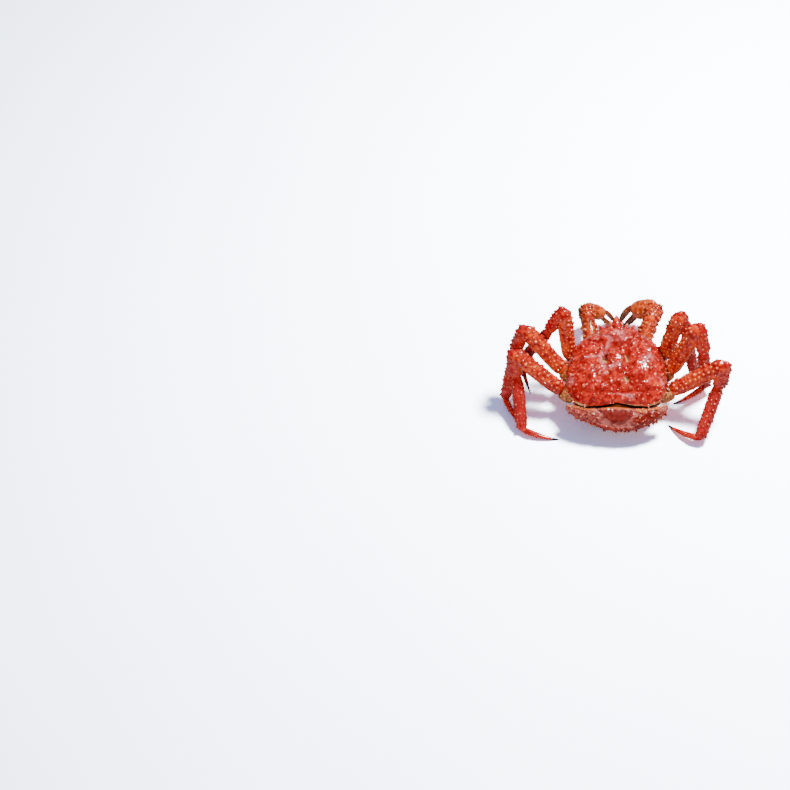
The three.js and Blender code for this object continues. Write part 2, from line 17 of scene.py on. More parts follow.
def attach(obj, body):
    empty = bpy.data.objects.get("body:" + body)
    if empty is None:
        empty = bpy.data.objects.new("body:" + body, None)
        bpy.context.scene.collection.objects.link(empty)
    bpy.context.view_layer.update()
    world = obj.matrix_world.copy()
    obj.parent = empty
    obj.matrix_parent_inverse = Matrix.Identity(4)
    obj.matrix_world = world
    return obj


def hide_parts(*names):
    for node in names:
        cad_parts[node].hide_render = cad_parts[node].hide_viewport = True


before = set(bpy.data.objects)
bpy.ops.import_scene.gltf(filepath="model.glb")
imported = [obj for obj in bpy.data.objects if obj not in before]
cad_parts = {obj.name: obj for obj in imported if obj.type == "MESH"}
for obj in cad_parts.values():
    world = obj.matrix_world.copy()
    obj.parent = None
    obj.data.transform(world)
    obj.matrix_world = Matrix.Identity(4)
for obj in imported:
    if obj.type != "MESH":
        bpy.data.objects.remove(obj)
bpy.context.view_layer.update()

# %% [markdown]
# ## Driving dimensions
# The solids were made from a few sizes, and the finished pieces use the same ones, so that each
# lies where its solid lies. MIDLINE is where the crab's own middle sits in the frame: the folded
# legs reach further to one side and to the front, so the middle isn't under the box's centre.

# %% Name the driving dimensions
MM = 0.001
MIDLINE = Vector((5.5, -50.5, 0)) * MM
HALF_WIDTH = 91
MARGIN_HEIGHT = 63
SHOULDER_LIFT = 8
BROW_LIFT = 9
UNDER_DEPTH = 34
SEAM_HEIGHT = 47
BODY_FLOOR = 21
TIP_HEIGHT = -1.2
SIDES = (("left", -1), ("right", 1))
RANDOM = np.random.default_rng(11)

# %% [markdown]
# ## The camera
# The picture looks down on the crab from behind at 52 degrees and from far off, so the shell shows
# hardly any perspective. A long lens three metres away does the same. The crab isn't in the
# middle of the picture. Instead of shifting the lens, the camera is turned a little, until the
# point over the crab's middle falls on the pixel where the picture has it.

# %% Place the camera
IMAGE_SIZE = 790
AIM_PIXEL = (616.5, 375)
AIM_HEIGHT = 80 * MM
ELEVATION = math.radians(52)
DISTANCE = 3.0
FOCAL_PIXELS = 1641.7
SENSOR_MM = 36

right = Vector((1, 0, 0))
up = Vector((0, math.sin(ELEVATION), math.cos(ELEVATION)))
forward = Vector((0, math.cos(ELEVATION), -math.sin(ELEVATION)))
aim = MIDLINE + Vector((0, 0, AIM_HEIGHT))
half_image = IMAGE_SIZE / 2
aim_ray = Vector((AIM_PIXEL[0] - half_image, half_image - AIM_PIXEL[1], FOCAL_PIXELS)).normalized()
turn = Vector((0, 0, 1)).rotation_difference(aim_ray).to_matrix()
axes = Matrix((right, up, forward)).transposed() @ turn.transposed()
facing = Matrix((axes.col[0], axes.col[1], -axes.col[2])).transposed()

bpy.ops.object.camera_add(location=aim - forward * DISTANCE)
camera = bpy.context.object
camera.name = "camera"
camera.matrix_world = Matrix.Translation(aim - forward * DISTANCE) @ facing.to_4x4()
camera.data.sensor_width = SENSOR_MM
camera.data.lens = FOCAL_PIXELS / IMAGE_SIZE * SENSOR_MM
bpy.context.scene.camera = camera
print("lens:", round(camera.data.lens, 1), "mm, height over the floor:", round(camera.location.z, 2))

# %% [markdown]
# ## Small tools for modelling
# An operator works on whatever is selected, and loading left every solid selected. So these
# helpers first clear the selection and then pick one piece, or some corners of it. The rest read,
# move and mark the corners of a mesh. A mark is a number on each corner, such as 1 at a spine's
# tip and 0 at its foot, which a material reads as a mask.

# %% Make the helpers
def select_only(*pieces):
    bpy.ops.object.select_all(action="DESELECT")
    for piece in pieces:
        piece.select_set(True)
    bpy.context.view_layer.objects.active = pieces[0]


def open_with(piece, chosen=True):
    """Opens a piece in edit mode with all its corners selected, or only the chosen ones."""
    select_only(piece)
    bpy.ops.object.mode_set(mode="EDIT")
    bpy.ops.mesh.select_mode(type="VERT")
    bpy.ops.mesh.select_all(action="DESELECT")
    bpy.ops.object.mode_set(mode="OBJECT")
    corners = piece.data.vertices
    corners.foreach_set("select", np.full(len(corners), chosen))
    bpy.ops.object.mode_set(mode="EDIT")


def close(piece):
    """Leaves edit mode with every face turned outwards."""
    bpy.ops.mesh.select_all(action="SELECT")
    bpy.ops.mesh.normals_make_consistent(inside=False)
    bpy.ops.object.mode_set(mode="OBJECT")
    piece.data.update()


def merge(piece, threshold=0.01):
    """Joins the corners that lie together."""
    open_with(piece)
    bpy.ops.mesh.remove_doubles(threshold=threshold)
    close(piece)


def added(operator, name, **settings):
    """Adds a basic mesh with nothing else selected, names it and applies its place and turn."""
    bpy.ops.object.select_all(action="DESELECT")
    operator(**settings)
    piece = bpy.context.object
    piece.name = name
    bpy.ops.object.transform_apply(location=True, rotation=True)
    return piece


def linked(name, data):
    """A new piece in the scene that holds a mesh or a curve."""
    piece = bpy.data.objects.new(name, data)
    bpy.context.collection.objects.link(piece)
    return piece


def points_of(piece):
    places = np.empty(len(piece.data.vertices) * 3, np.float32)
    piece.data.vertices.foreach_get("co", places)
    return places.reshape(-1, 3).astype(float)


def move_points(piece, places):
    piece.data.vertices.foreach_set("co", np.asarray(places, np.float32).ravel())
    piece.data.update()


def mark(piece, name, values):
    """Writes one number on each corner, which a material can read by that name."""
    layer = piece.data.attributes.get(name) or piece.data.attributes.new(name, "FLOAT", "POINT")
    layer.data.foreach_set("value", np.full(len(piece.data.vertices), values, np.float32))


def marks_of(piece, name):
    values = np.zeros(len(piece.data.vertices), np.float32)
    layer = piece.data.attributes.get(name)
    if layer:
        layer.data.foreach_get("value", values)
    return values


def mark_more(piece, name, values):
    """Raises a mark wherever the new values are higher."""
    mark(piece, name, np.maximum(marks_of(piece, name), values))


def apply_new(piece, kind, **settings):
    """Adds a modifier, sets it and applies it."""
    select_only(piece)
    bpy.ops.object.modifier_add(type=kind)
    modifier = piece.modifiers[-1]
    for name, value in settings.items():
        setattr(modifier, name, value)
    bpy.ops.object.modifier_apply(modifier=modifier.name)


def join(first, *others):
    select_only(first, *others)
    bpy.ops.object.join()
    return first


def smoothstep(value, low, high):
    share = np.clip((np.asarray(value, float) - low) / (high - low), 0, 1)
    return share * share * (3 - 2 * share)


def heading(azimuth, height):
    level = math.cos(math.radians(height))
    turned = math.radians(azimuth)
    return Vector((level * math.cos(turned), level * math.sin(turned), math.sin(math.radians(height))))


def mirrored(azimuth, height, side):
    """A heading given for the right side, turned over for the left one."""
    return heading(90 + side * (azimuth - 90), height)


print("helpers ready")

# %% [markdown]
# ## Tools for node trees
# A material is a tree of nodes with links between their sockets. Each of these tools adds one
# node, feeds it with links or plain numbers and gives back its output, so that a step of the
# mixing can be written in one line.

# %% Make the node tools
def add_node(tree, kind, **settings):
    node = tree.nodes.new(kind)
    for name, value in settings.items():
        setattr(node, name, value)
    return node


def feed(tree, socket, value):
    """Links a socket, or sets it to a plain value."""
    if isinstance(value, bpy.types.NodeSocket):
        tree.links.new(value, socket)
    else:
        socket.default_value = value


def mixed(tree, share, first, second):
    node = add_node(tree, "ShaderNodeMix", data_type="RGBA")
    for place, value in ((0, share), (6, first), (7, second)):
        feed(tree, node.inputs[place], value)
    return node.outputs[2]


def counted(tree, operation, *values):
    node = add_node(tree, "ShaderNodeMath", operation=operation)
    for socket, value in zip(node.inputs, values):
        feed(tree, socket, value)
    return node.outputs[0]


def spread(tree, value, low, high, start=0.0, end=1.0):
    """Stretches a value from one range smoothly over another."""
    node = add_node(tree, "ShaderNodeMapRange", interpolation_type="SMOOTHSTEP")
    for name, number in (("From Min", low), ("From Max", high), ("To Min", start), ("To Max", end)):
        node.inputs[name].default_value = number
    feed(tree, node.inputs["Value"], value)
    return node.outputs["Result"]


def noise(tree, place, scale, detail=2.0):
    node = add_node(tree, "ShaderNodeTexNoise")
    node.inputs["Scale"].default_value = scale
    node.inputs["Detail"].default_value = detail
    tree.links.new(place, node.inputs["Vector"])
    return node.outputs["Fac"]


def pebbles(tree, place, scale):
    """The distance to the nearest of many scattered points: round grains."""
    node = add_node(tree, "ShaderNodeTexVoronoi")
    node.inputs["Scale"].default_value = scale
    tree.links.new(place, node.inputs["Vector"])
    return node.outputs["Distance"]


def marked(tree, name):
    return add_node(tree, "ShaderNodeAttribute", attribute_name=name).outputs["Fac"]


def own_place(tree):
    return add_node(tree, "ShaderNodeTexCoord").outputs["Object"]


print("node tools ready")

# %% [markdown]
# ## The grain of the boiled shell
# Boiled shell is red with a pinkish bloom, goes orange where it is thin, and is pale on the tips
# of its spines and on the belly side. On the legs the tips are brighter still, as painted glints.
# Some stretches get one more tint: painted highlight in pale pink streaks on the carapace, a deeper
# crimson on the legs that is partly their own colour and partly painted shade, and the grey-pink of
# the abdomen's skin. Deep red is the own tone of the abdomen's plates and of the feelers, and
# painted shade in the creases. The horn layer is the walking claws' black points and the fingers'
# brown horn, and painted near-black shade in the rear gaps and the pits. The shell is wet in
# patches. Its face is finely grained and pitted. All the shell materials share this, so it is one
# node group: it mixes the colours by noise and by the marks, and gives out a colour, a roughness, a
# height and how wet each place is. The colours and the shell's own thinness come in from each
# material.

# %% Build the shell's node group
SHELL_SOCKETS = {
    ("INPUT", "NodeSocketColor"): ("Red", "Deep", "Bloom", "Orange", "Pale", "Horn", "Bristle", "Frost"),
    ("INPUT", "NodeSocketFloat"): ("Thinness",),
    ("OUTPUT", "NodeSocketColor"): ("Colour",),
    ("OUTPUT", "NodeSocketFloat"): ("Roughness", "Height", "Wetness"),
}
shell_grain = bpy.data.node_groups.new("shell_grain", "ShaderNodeTree")
for (direction, kind), names in SHELL_SOCKETS.items():
    for name in names:
        shell_grain.interface.new_socket(name, in_out=direction, socket_type=kind)
given = add_node(shell_grain, "NodeGroupInput").outputs
result = add_node(shell_grain, "NodeGroupOutput").inputs
place = own_place(shell_grain)
patches = noise(shell_grain, place, 48, 3.0)
mottle = noise(shell_grain, place, 150, 3.0)
specks = pebbles(shell_grain, place, 420)
grains = pebbles(shell_grain, place, 640)
uneven = counted(shell_grain, "MULTIPLY", patches, 0.6)
depths = counted(shell_grain, "MULTIPLY_ADD", mottle, 0.8, uneven)
bloom_share = counted(shell_grain, "MULTIPLY", spread(shell_grain, mottle, 0.5, 0.75), 0.5)
broad_patches = counted(shell_grain, "MULTIPLY_ADD", patches, 0.9, -1.1)
raggedness = counted(shell_grain, "MULTIPLY_ADD", mottle, 1.3, broad_patches)
thinness = counted(shell_grain, "ADD", marked(shell_grain, "belly"), given["Thinness"])
thin_share = spread(shell_grain, counted(shell_grain, "ADD", thinness, raggedness), 0.1, 0.9)
dots = spread(shell_grain, specks, 0.2, 0.08)
dot_share = counted(shell_grain, "MULTIPLY", dots, spread(shell_grain, patches, 0.45, 0.6, 0.0, 0.6))
tint_patches = spread(shell_grain, mottle, 0.38, 0.6, 0.3, 1)
frost_share = counted(shell_grain, "MULTIPLY", marked(shell_grain, "tint_and_painted_light"), tint_patches)
tip_share = spread(shell_grain, marked(shell_grain, "tip"), 0.1, 0.8, 0.0, 0.7)
# Each layer of colour covers the ones before it by its share
shade = mixed(shell_grain, spread(shell_grain, depths, 0.56, 0.8), given["Deep"], given["Red"])
# Painted light among these layers: frost is painted highlight on the carapace and partly painted shade on
# the legs, deep over the crease mark is partly painted shade, and horn is painted shade in the gaps and
# pits.
for share, layer in (
    (bloom_share, "Bloom"),
    (thin_share, "Orange"),
    (dot_share, "Pale"),
    (frost_share, "Frost"),
    (marked(shell_grain, "deep_tone_and_crease_shade"), "Deep"),
    (tip_share, "Pale"),
    (marked(shell_grain, "pale"), "Pale"),
    (marked(shell_grain, "horn_and_painted_shade"), "Horn"),
    (marked(shell_grain, "bristle"), "Bristle"),
):
    shade = mixed(shell_grain, share, shade, given[layer])
wet_patches = noise(shell_grain, place, 110, 2.0)
for socket, value in {
    "Colour": shade,
    "Roughness": spread(shell_grain, mottle, 0.3, 0.7, 0.3, 0.5),
    "Height": counted(shell_grain, "MULTIPLY_ADD", grains, -0.55, mottle),
    "Wetness": spread(shell_grain, wet_patches, 0.38, 0.62, 0.25, 1),
}.items():
    shell_grain.links.new(value, result[socket])
print("shell group:", len(shell_grain.nodes), "nodes")

# %% [markdown]
# ## The shell's materials
# Each material places the group with its own colours. The wet look is a coat over the shell: a
# thin, smooth layer that is as strong as the place is wet. The shell below it hardly shines,
# because a broad shine would turn the deep red pink. The grain becomes a small bump. The moving
# fingers have a copy of the claws' finish, since their horn is the same as the fixed fingers'.

# %% Make the shell materials
def colour(red, green, blue):
    """A colour given as on a screen, made linear."""
    def linear(value):
        share = value / 255
        return share / 12.92 if share <= 0.04045 else ((share + 0.055) / 1.055) ** 2.4
    return (linear(red), linear(green), linear(blue), 1.0)


def new_material(name):
    material = bpy.data.materials.new(name)
    material.use_nodes = True
    return material, material.node_tree, material.node_tree.nodes["Principled BSDF"]


def raise_grain(tree, shader, height, strength, distance):
    """Turns a height into a small bump."""
    relief = add_node(tree, "ShaderNodeBump")
    relief.inputs["Strength"].default_value = strength
    relief.inputs["Distance"].default_value = distance
    tree.links.new(height, relief.inputs["Height"])
    tree.links.new(relief.outputs["Normal"], shader.inputs["Normal"])


# The layers that most of the shell has alike. Horn is the walking claws' black points, and painted
# shade in the rear gaps and the pits. Frost is a deeper crimson on the legs, partly painted shade.
COMMON_LAYERS = {"Horn": (16, 11, 9), "Bristle": (186, 130, 62), "Frost": (152, 32, 36)}
COAT_IOR = 1.8


def shell_material(name, thinness=0.0, coat=0.8, **layers):
    material, tree, shader = new_material(name)
    grain = add_node(tree, "ShaderNodeGroup", node_tree=shell_grain)
    grain.inputs["Thinness"].default_value = thinness
    for layer, tint in {**COMMON_LAYERS, **layers}.items():
        grain.inputs[layer].default_value = colour(*tint)
    raise_grain(tree, shader, grain.outputs["Height"], 0.4, 0.0004)
    tree.links.new(grain.outputs["Colour"], shader.inputs["Base Color"])
    tree.links.new(grain.outputs["Roughness"], shader.inputs["Roughness"])
    coat_weight = counted(tree, "MULTIPLY", grain.outputs["Wetness"], coat)
    tree.links.new(coat_weight, shader.inputs["Coat Weight"])
    shader.inputs["Specular IOR Level"].default_value = 0.12
    shader.inputs["Coat Roughness"].default_value = 0.1
    shader.inputs["Coat IOR"].default_value = COAT_IOR
    return material


carapace_red = shell_material(
    "carapace_red",
    thinness=0.1,
    Red=(184, 30, 18),
    Deep=(124, 12, 9),
    Bloom=(208, 76, 62),
    Orange=(206, 88, 40),
    Pale=(236, 140, 104),
    Bristle=(204, 164, 108),
    # Its frost colour is painted highlight: pale pink streaks where the wet shell shines.
    Frost=(236, 146, 148),
)
leg_red = shell_material(
    "leg_red",
    thinness=0.2,
    Red=(192, 28, 15),
    Deep=(134, 11, 10),
    Bloom=(212, 66, 40),
    Orange=(216, 88, 26),
    # The pale on the spines' tips is their own paler shell, made brighter as painted glints.
    Pale=(240, 136, 92),
)
claw_amber = shell_material(
    "claw_amber",
    thinness=0.36,
    coat=0.6,
    Red=(198, 50, 20),
    Deep=(124, 26, 13),
    Bloom=(210, 86, 44),
    Orange=(202, 92, 30),
    Pale=(238, 146, 84),
    Horn=(60, 40, 26),
)
finger_horn = claw_amber.copy()
finger_horn.name = "finger_horn"
belly_cream = shell_material(
    "belly_cream",
    thinness=0.2,
    coat=0.5,
    Red=(162, 64, 32),
    Deep=(82, 30, 14),
    Bloom=(190, 106, 60),
    Orange=(196, 130, 76),
    Pale=(226, 180, 122),
)
print("shell materials:", [m.name for m in (carapace_red, leg_red, claw_amber, finger_horn, belly_cream)])

# %% [markdown]
# ## Bringing a piece to its place
# A finished piece must have its object at the origin, unturned and unscaled, with its place in its
# mesh. So this last step turns the crab's millimetres into the frame's metres, applies them,
# smooths the shading, gives the material, hangs the piece on the body's root and hides the solids
# it stands for.

# %% Make the settling step
SMOOTH_BELOW = math.radians(50)


def settle(piece, material, *solids):
    piece.matrix_world = Matrix.Translation(MIDLINE) @ Matrix.Scale(MM, 4) @ piece.matrix_world
    select_only(piece)
    bpy.ops.object.transform_apply(location=True, rotation=True, scale=True)
    bpy.ops.object.shade_smooth_by_angle(angle=SMOOTH_BELOW)
    piece.data.materials.clear()
    piece.data.materials.append(material)
    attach(piece, "root")
    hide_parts(*solids)


# %% [markdown]
# ## Spines and tubercles
# The whole shell bears spines: sharp ones on its edges and ridges, blunt tubercles with pale tips
# between them. One of each is shaped from a cone. The cone is cut into rings, and each ring is
# drawn in or swollen, so that a spine flares at its foot and a tubercle is round. They are then
# planted by the hundred, each one turned to the surface and scaled.

# %% Shape one spine and one tubercle
CONE_SIDES = 8
CONE_FOOT = -0.3
CONE_POINT = 0.09
LEAST_PALE_TIP = 0.1


def ringed_cone(name, rings):
    """A cone of unit height whose rings, rows of (height, radius), are set one by one."""
    depth = 1 - CONE_FOOT
    model = added(
        bpy.ops.mesh.primitive_cone_add,
        name,
        vertices=CONE_SIDES,
        radius1=1,
        radius2=CONE_POINT,
        depth=depth,
        location=(0, 0, 1 - depth / 2),
    )
    for height, _ in rings:
        open_with(model)
        bpy.ops.mesh.bisect(plane_co=(0, 0, height), plane_no=(0, 0, 1))
        bpy.ops.object.mode_set(mode="OBJECT")
    for height, radius in rings:
        straight = 1 - (1 - CONE_POINT) * (height - CONE_FOOT) / depth
        open_with(model, np.abs(points_of(model)[:, 2] - height) < 1e-4)
        bpy.ops.transform.resize(value=(radius / straight, radius / straight, 1))
        close(model)
    heights = points_of(model)[:, 2]
    mark(model, "tip", np.clip(heights, 0, 1))
    # The foot of each spine and tubercle is marked dark as painted shade, the crease where it meets the
    # shell.
    mark(model, "deep_tone_and_crease_shade", 0.9 * (1 - smoothstep(heights, 0.02, 0.3)))
    return model


spine_model = ringed_cone("spine_model", ((0, 1.2), (0.14, 0.86), (0.5, 0.56), (0.84, 0.3)))
tubercle_model = ringed_cone("tubercle_model", ((0, 1.2), (0.2, 0.88), (0.6, 0.68), (0.88, 0.4)))


def standing(seat, direction, radius, length):
    """Where a model goes: its foot at seat, its axis along direction."""
    turned = Vector((0, 0, 1)).rotation_difference(Vector(direction)).to_matrix().to_4x4()
    return Matrix.Translation(Vector(seat)) @ turned @ Matrix.Diagonal((radius, radius, length, 1))


def planted(name, model, places):
    """One mesh with a copy of the model at each place, and its tips marked more or less."""
    corners = np.c_[points_of(model), np.ones(len(model.data.vertices))]
    faces = [tuple(face.vertices) for face in model.data.polygons]
    spots = np.vstack([corners @ np.array(place).T[:, :3] for place in places])
    count = len(corners)
    copied = [tuple(i + count * k for i in face) for k in range(len(places)) for face in faces]
    mesh = bpy.data.meshes.new(name)
    mesh.from_pydata(spots, [], copied)
    crowd = linked(name, mesh)
    strength = np.repeat(RANDOM.uniform(LEAST_PALE_TIP, 1, len(places)), count)
    mark(crowd, "deep_tone_and_crease_shade", np.tile(marks_of(model, "deep_tone_and_crease_shade"), len(places)))
    mark(crowd, "tip", np.tile(marks_of(model, "tip"), len(places)) * strength)
    return crowd


print("spine and tubercle:", len(spine_model.data.polygons), len(tubercle_model.data.polygons), "faces")

# %% [markdown]
# ## The form of the carapace
# The carapace is one broad shield. Its outline from above and its crown from the side are smooth
# curves, its section is a low arch, and it is swollen over the stomach, the heart and the gills,
# with grooves between them. Such a form is hard to pull by hand and easy to state: a height for
# each point of the plan. The same heights later tell where each spine stands.

# %% State the height of the dome
def smooth_path(points, count=400):
    """Evenly spaced points on a smooth curve through the given ones."""
    ends = np.array([points[0], *points, points[-1]], float)
    share = np.linspace(0, 1, 30, endpoint=False)[:, None]
    stretches = []
    for before, start, end, after in zip(ends, ends[1:], ends[2:], ends[3:]):
        leave = (end - before) / 2
        arrive = (after - start) / 2
        cubic = 2 * start - 2 * end + leave + arrive
        square = -3 * start + 3 * end - 2 * leave - arrive
        stretches.append(cubic * share**3 + square * share**2 + leave * share + start)
    path = np.vstack([*stretches, ends[-1:]])
    run = np.r_[0, np.cumsum(np.linalg.norm(np.diff(path, axis=0), axis=1))]
    even = np.linspace(0, run[-1], count)
    return np.column_stack([np.interp(even, run, column) for column in path.T])


# Shares of the half width and places along the crab, from the front round the right side
OUTLINE_PLAN = [
    (0, 111), (0.16, 109), (0.37, 100), (0.62, 83), (0.86, 61), (0.96, 30),
    (1, 0), (0.97, -26), (0.86, -46), (0.64, -57), (0.32, -56), (0, -53),
]
OUTLINE = smooth_path([(share * HALF_WIDTH, y) for share, y in OUTLINE_PLAN])
CROWN = smooth_path(
    [(-57, 66), (-52, 76), (-38, 88), (-10, 97), (30, 101), (62, 104), (86, 101), (102, 94), (111, 86)]
)
# Each swelling, or hollow, on the right side: its middle, its spreads and its height
REGIONS = [
    (0, 68, 22, 20, 13),
    (0, 3, 14, 16, 8),
    (46, 10, 24, 28, 9),
    (42, -30, 26, 18, 5),
    (19, 29, 6, 13, -11),
    (18, -23, 4, 4, -4),
    (0, 45, 20, 8, -7),
    (0, 27, 12, 8, 4),
    (36, 52, 7, 20, -4),
    (0, -38, 14, 10, -5),
]
# Each groove: its depth, its half width and its path on the right side
GROOVES = [
    (4.2, 3.2, [(31, 84), (28, 66), (23, 50), (20, 36), (19, 22), (11, 16)]),
    (3.0, 2.8, [(19, 22), (18, 4), (14, -12), (19, -26), (30, -36)]),
    (2.0, 3.0, [(28, 66), (42, 58), (58, 61), (70, 58)]),
    (2.2, 2.8, [(0, -43), (25, -42), (50, -43), (68, -36)]),
]
rear_most = int(np.argmin(OUTLINE[:, 1]))
FLANK = OUTLINE[: rear_most + 1][::-1]


def margin_at(y):
    return MARGIN_HEIGHT + SHOULDER_LIFT * smoothstep(y, -10, 60) + BROW_LIFT * smoothstep(y, 84, 112)


def distance_to(x, y, path):
    """How far each point of the plan is from a path of straight stretches."""
    nearest = np.full(np.shape(x), 1e9)
    for (x0, y0), (x1, y1) in zip(path, path[1:]):
        along = ((x - x0) * (x1 - x0) + (y - y0) * (y1 - y0)) / ((x1 - x0) ** 2 + (y1 - y0) ** 2)
        share = np.clip(along, 0, 1)
        gap = np.hypot(x - x0 - share * (x1 - x0), y - y0 - share * (y1 - y0))
        nearest = np.minimum(nearest, gap)
    return nearest


def streaked(x, y, rows):
    """The strongest of some streaks, each a strength, a half width and a path, with soft edges."""
    strongest = np.zeros(np.shape(x))
    for strength, half_width, path in rows:
        gap = distance_to(x, y, path) / half_width
        strongest = np.maximum(strongest, strength * np.exp(-(gap**2)))
    return strongest


def groove_depth(x, y):
    return streaked(np.abs(x), y, GROOVES)


def dome_height(x, y):
    x, y = np.asarray(x, float), np.asarray(y, float)
    margin = margin_at(y)
    across = np.clip(np.abs(x) / np.maximum(np.interp(y, FLANK[:, 1], FLANK[:, 0]), 1), 0, 1)
    edge = 1 - across**4
    rise = (np.interp(y, CROWN[:, 0], CROWN[:, 1]) - margin) * np.sqrt(edge)
    swelling = -groove_depth(x, y)
    for middle_x, middle_y, spread_x, spread_y, lift in REGIONS:
        for side in {middle_x, -middle_x}:
            off_middle = ((x - side) / spread_x) ** 2 + ((y - middle_y) / spread_y) ** 2
            swelling = swelling + lift * np.exp(-off_middle)
    return margin + rise + swelling * edge * np.clip(rise / 12, 0, 1)


def on_dome(x, y, lift):
    return x, y, float(dome_height(x, y)) + lift


def dome_normal(x, y):
    step = 1.5
    slope_x = (dome_height(x + step, y) - dome_height(x - step, y)) / (2 * step)
    slope_y = (dome_height(x, y + step) - dome_height(x, y - step)) / (2 * step)
    return Vector((-slope_x, -slope_y, 1)).normalized()


print("crown height:", round(float(dome_height(0, 68)), 1), "mm over the stomach")

# %% [markdown]
# ## Where the carapace's spines stand
# The large spines stand in pairs on each region, where the species has them. Small tubercles fill
# the room between: they are thrown at random from a fixed seed and kept where they stand clear of
# the others, which looks grown and not ruled. With each throw they may stand a little closer.

# %% Set out the carapace's spines
# Each large spine of the right side: its place, its length and its radius
LARGE_SPINES = [
    (9, 84, 6, 4.5), (8, 66, 7, 5), (24, 64, 6, 4.5), (8, 10, 6, 4.5), (8, -8, 6, 4.5),
    (46, 66, 7, 5), (62, 50, 8, 5), (38, 34, 7, 5), (58, 22, 8, 6), (77, 26, 8, 5),
    (34, 8, 7, 5), (60, -2, 7, 5), (79, -8, 8, 5), (46, -17, 8, 6), (25, -38, 7, 5.5),
    (57, -34, 8, 6.5), (9, -28, 5, 4), (31, -15, 6, 5), (40, -48, 5, 4),
]
SMALL_COUNT = 180
FIRST_CLEARANCE = 7
CROWDING = 0.0004

large = [(side * x, y, length, radius) for x, y, length, radius in LARGE_SPINES for side in (-1, 1)]
small = []
clearance = FIRST_CLEARANCE
while len(small) < SMALL_COUNT:
    x, y = RANDOM.uniform(-88, 88), RANDOM.uniform(-54, 104)
    inside = abs(x) < 0.95 * np.interp(y, FLANK[:, 1], FLANK[:, 0])
    clear = all(math.hypot(x - a, y - b) > clearance * 0.8 + r * 0.6 for a, b, _, r in large)
    apart = all(math.hypot(x - a, y - b) > clearance for a, b, _, _ in small)
    clearance -= CROWDING
    if inside and clear and apart and groove_depth(np.array(x), np.array(y)) < 1.2:
        small.append((x, y, RANDOM.uniform(1.1, 2.6), RANDOM.uniform(1.4, 2.8)))
print("spines on the dome:", len(large), "large,", len(small), "small")

# %% [markdown]
# ## The carapace
# A sphere with its poles towards the front and the rear has just the right rings: each ring is
# laid on the outline at its own share of the way round, its upper half on the dome and its lower
# half under the margin. The dome also rises a little round each spine, so that the spine grows
# out of the shell. The underside is then cut off where the shell meets the body. Displacement
# by a texture roughens the whole face, in fine granules and in broad waves.

# %% Shape the shield
def swollen_feet(x, y):
    """The low mounds round the spines."""
    lift = np.zeros(np.shape(x))
    for seat_x, seat_y, length, radius in large + small:
        near = np.hypot(x - seat_x, y - seat_y) / (1.6 * radius)
        lift = np.maximum(lift, 0.4 * length * np.exp(-(near**2)))
    return lift


def ringed_ball(name, segments, rings):
    """A sphere with its poles to the front and rear, and each corner's share, angle and girth."""
    sphere = bpy.ops.mesh.primitive_uv_sphere_add
    piece = added(sphere, name, segments=segments, ring_count=rings, rotation=(-math.pi / 2, 0, 0))
    ball = points_of(piece)
    polar = np.arccos(np.clip(ball[:, 1], -1, 1))
    return piece, polar / math.pi, np.arctan2(ball[:, 2], ball[:, 0]), np.sin(polar)


def along_outline(outline, share):
    return (np.interp(share, np.linspace(0, 1, len(outline)), column) for column in outline.T)


def shaped(piece, places):
    """Moves every corner to its place and joins the ones that come to lie together."""
    move_points(piece, places)
    merge(piece)


shield, share, angle, _ = ringed_ball("carapace_shield", 320, 210)
rim_x, rim_y = along_outline(OUTLINE, share)
across = np.abs(np.cos(angle)) ** 0.8
x = rim_x * across * np.sign(np.cos(angle))
drawn_up = smoothstep(rim_y, 84, 108)
depth = UNDER_DEPTH * np.sqrt(np.clip(1 - across**2.2, 0, 1)) * np.minimum(1, rim_x / 30)
under = margin_at(rim_y) - depth * (1 - drawn_up)
top = dome_height(x, rim_y)
top = top + swollen_feet(x, rim_y) * np.clip((top - margin_at(rim_y)) / 6, 0, 1)
move_points(shield, np.column_stack([x, rim_y, np.where(np.sin(angle) > 1e-6, top, under)]))
open_with(shield)
bpy.ops.mesh.remove_doubles(threshold=0.01)
bpy.ops.mesh.bisect(plane_co=(0, 0, SEAM_HEIGHT), plane_no=(0, 0, 1), use_fill=True, clear_inner=True)
close(shield)


def pattern(name, kind, scale):
    made = bpy.data.textures.new(name, kind)
    made.noise_scale = scale
    return made


def roughen(piece, texture, strength, middle=0.5):
    apply_new(piece, "DISPLACE", texture=texture, strength=strength, mid_level=middle)


granules = pattern("granules", "VORONOI", 6.5)
undulation = pattern("undulation", "CLOUDS", 13)
dimpling = pattern("dimpling", "CLOUDS", 6)
roughen(shield, granules, -1.5, middle=0.45)
roughen(shield, undulation, 3.2)
print("shield:", len(shield.data.polygons), "faces")

# %% [markdown]
# ## The spines of the carapace
# Large spines are sharp and point along the shell's own normal, leaning a little forward. Small
# ones are blunt. The margin carries a row of spines, long and short in turn, and the front ends
# in a beak over the eyes: one strong spine with three smaller ones on each side of it.

# %% Plant the carapace's spines and its beak
MARGIN_COUNT = 19
MARGIN_STRETCH = (0.13, 0.8)
FORWARD_LEAN = Vector((0, 0.18, 0))
NOTCH_SHIFT = (0, 3, 3)
SOCKET_DEPTH = (0, 4, 0)
# The beak's foot, its azimuth and rise, its length and radius, and the same of its side spines
BEAK = ((0, 96, 90), (90, 35), 28, 15)
BEAK_SIDES = [
    ((9, 101), (76, 34), 12, 6),
    ((17, 98), (68, 26), 9, 4.5),
    ((28, 97), (60, 20), 11, 4.5),
]

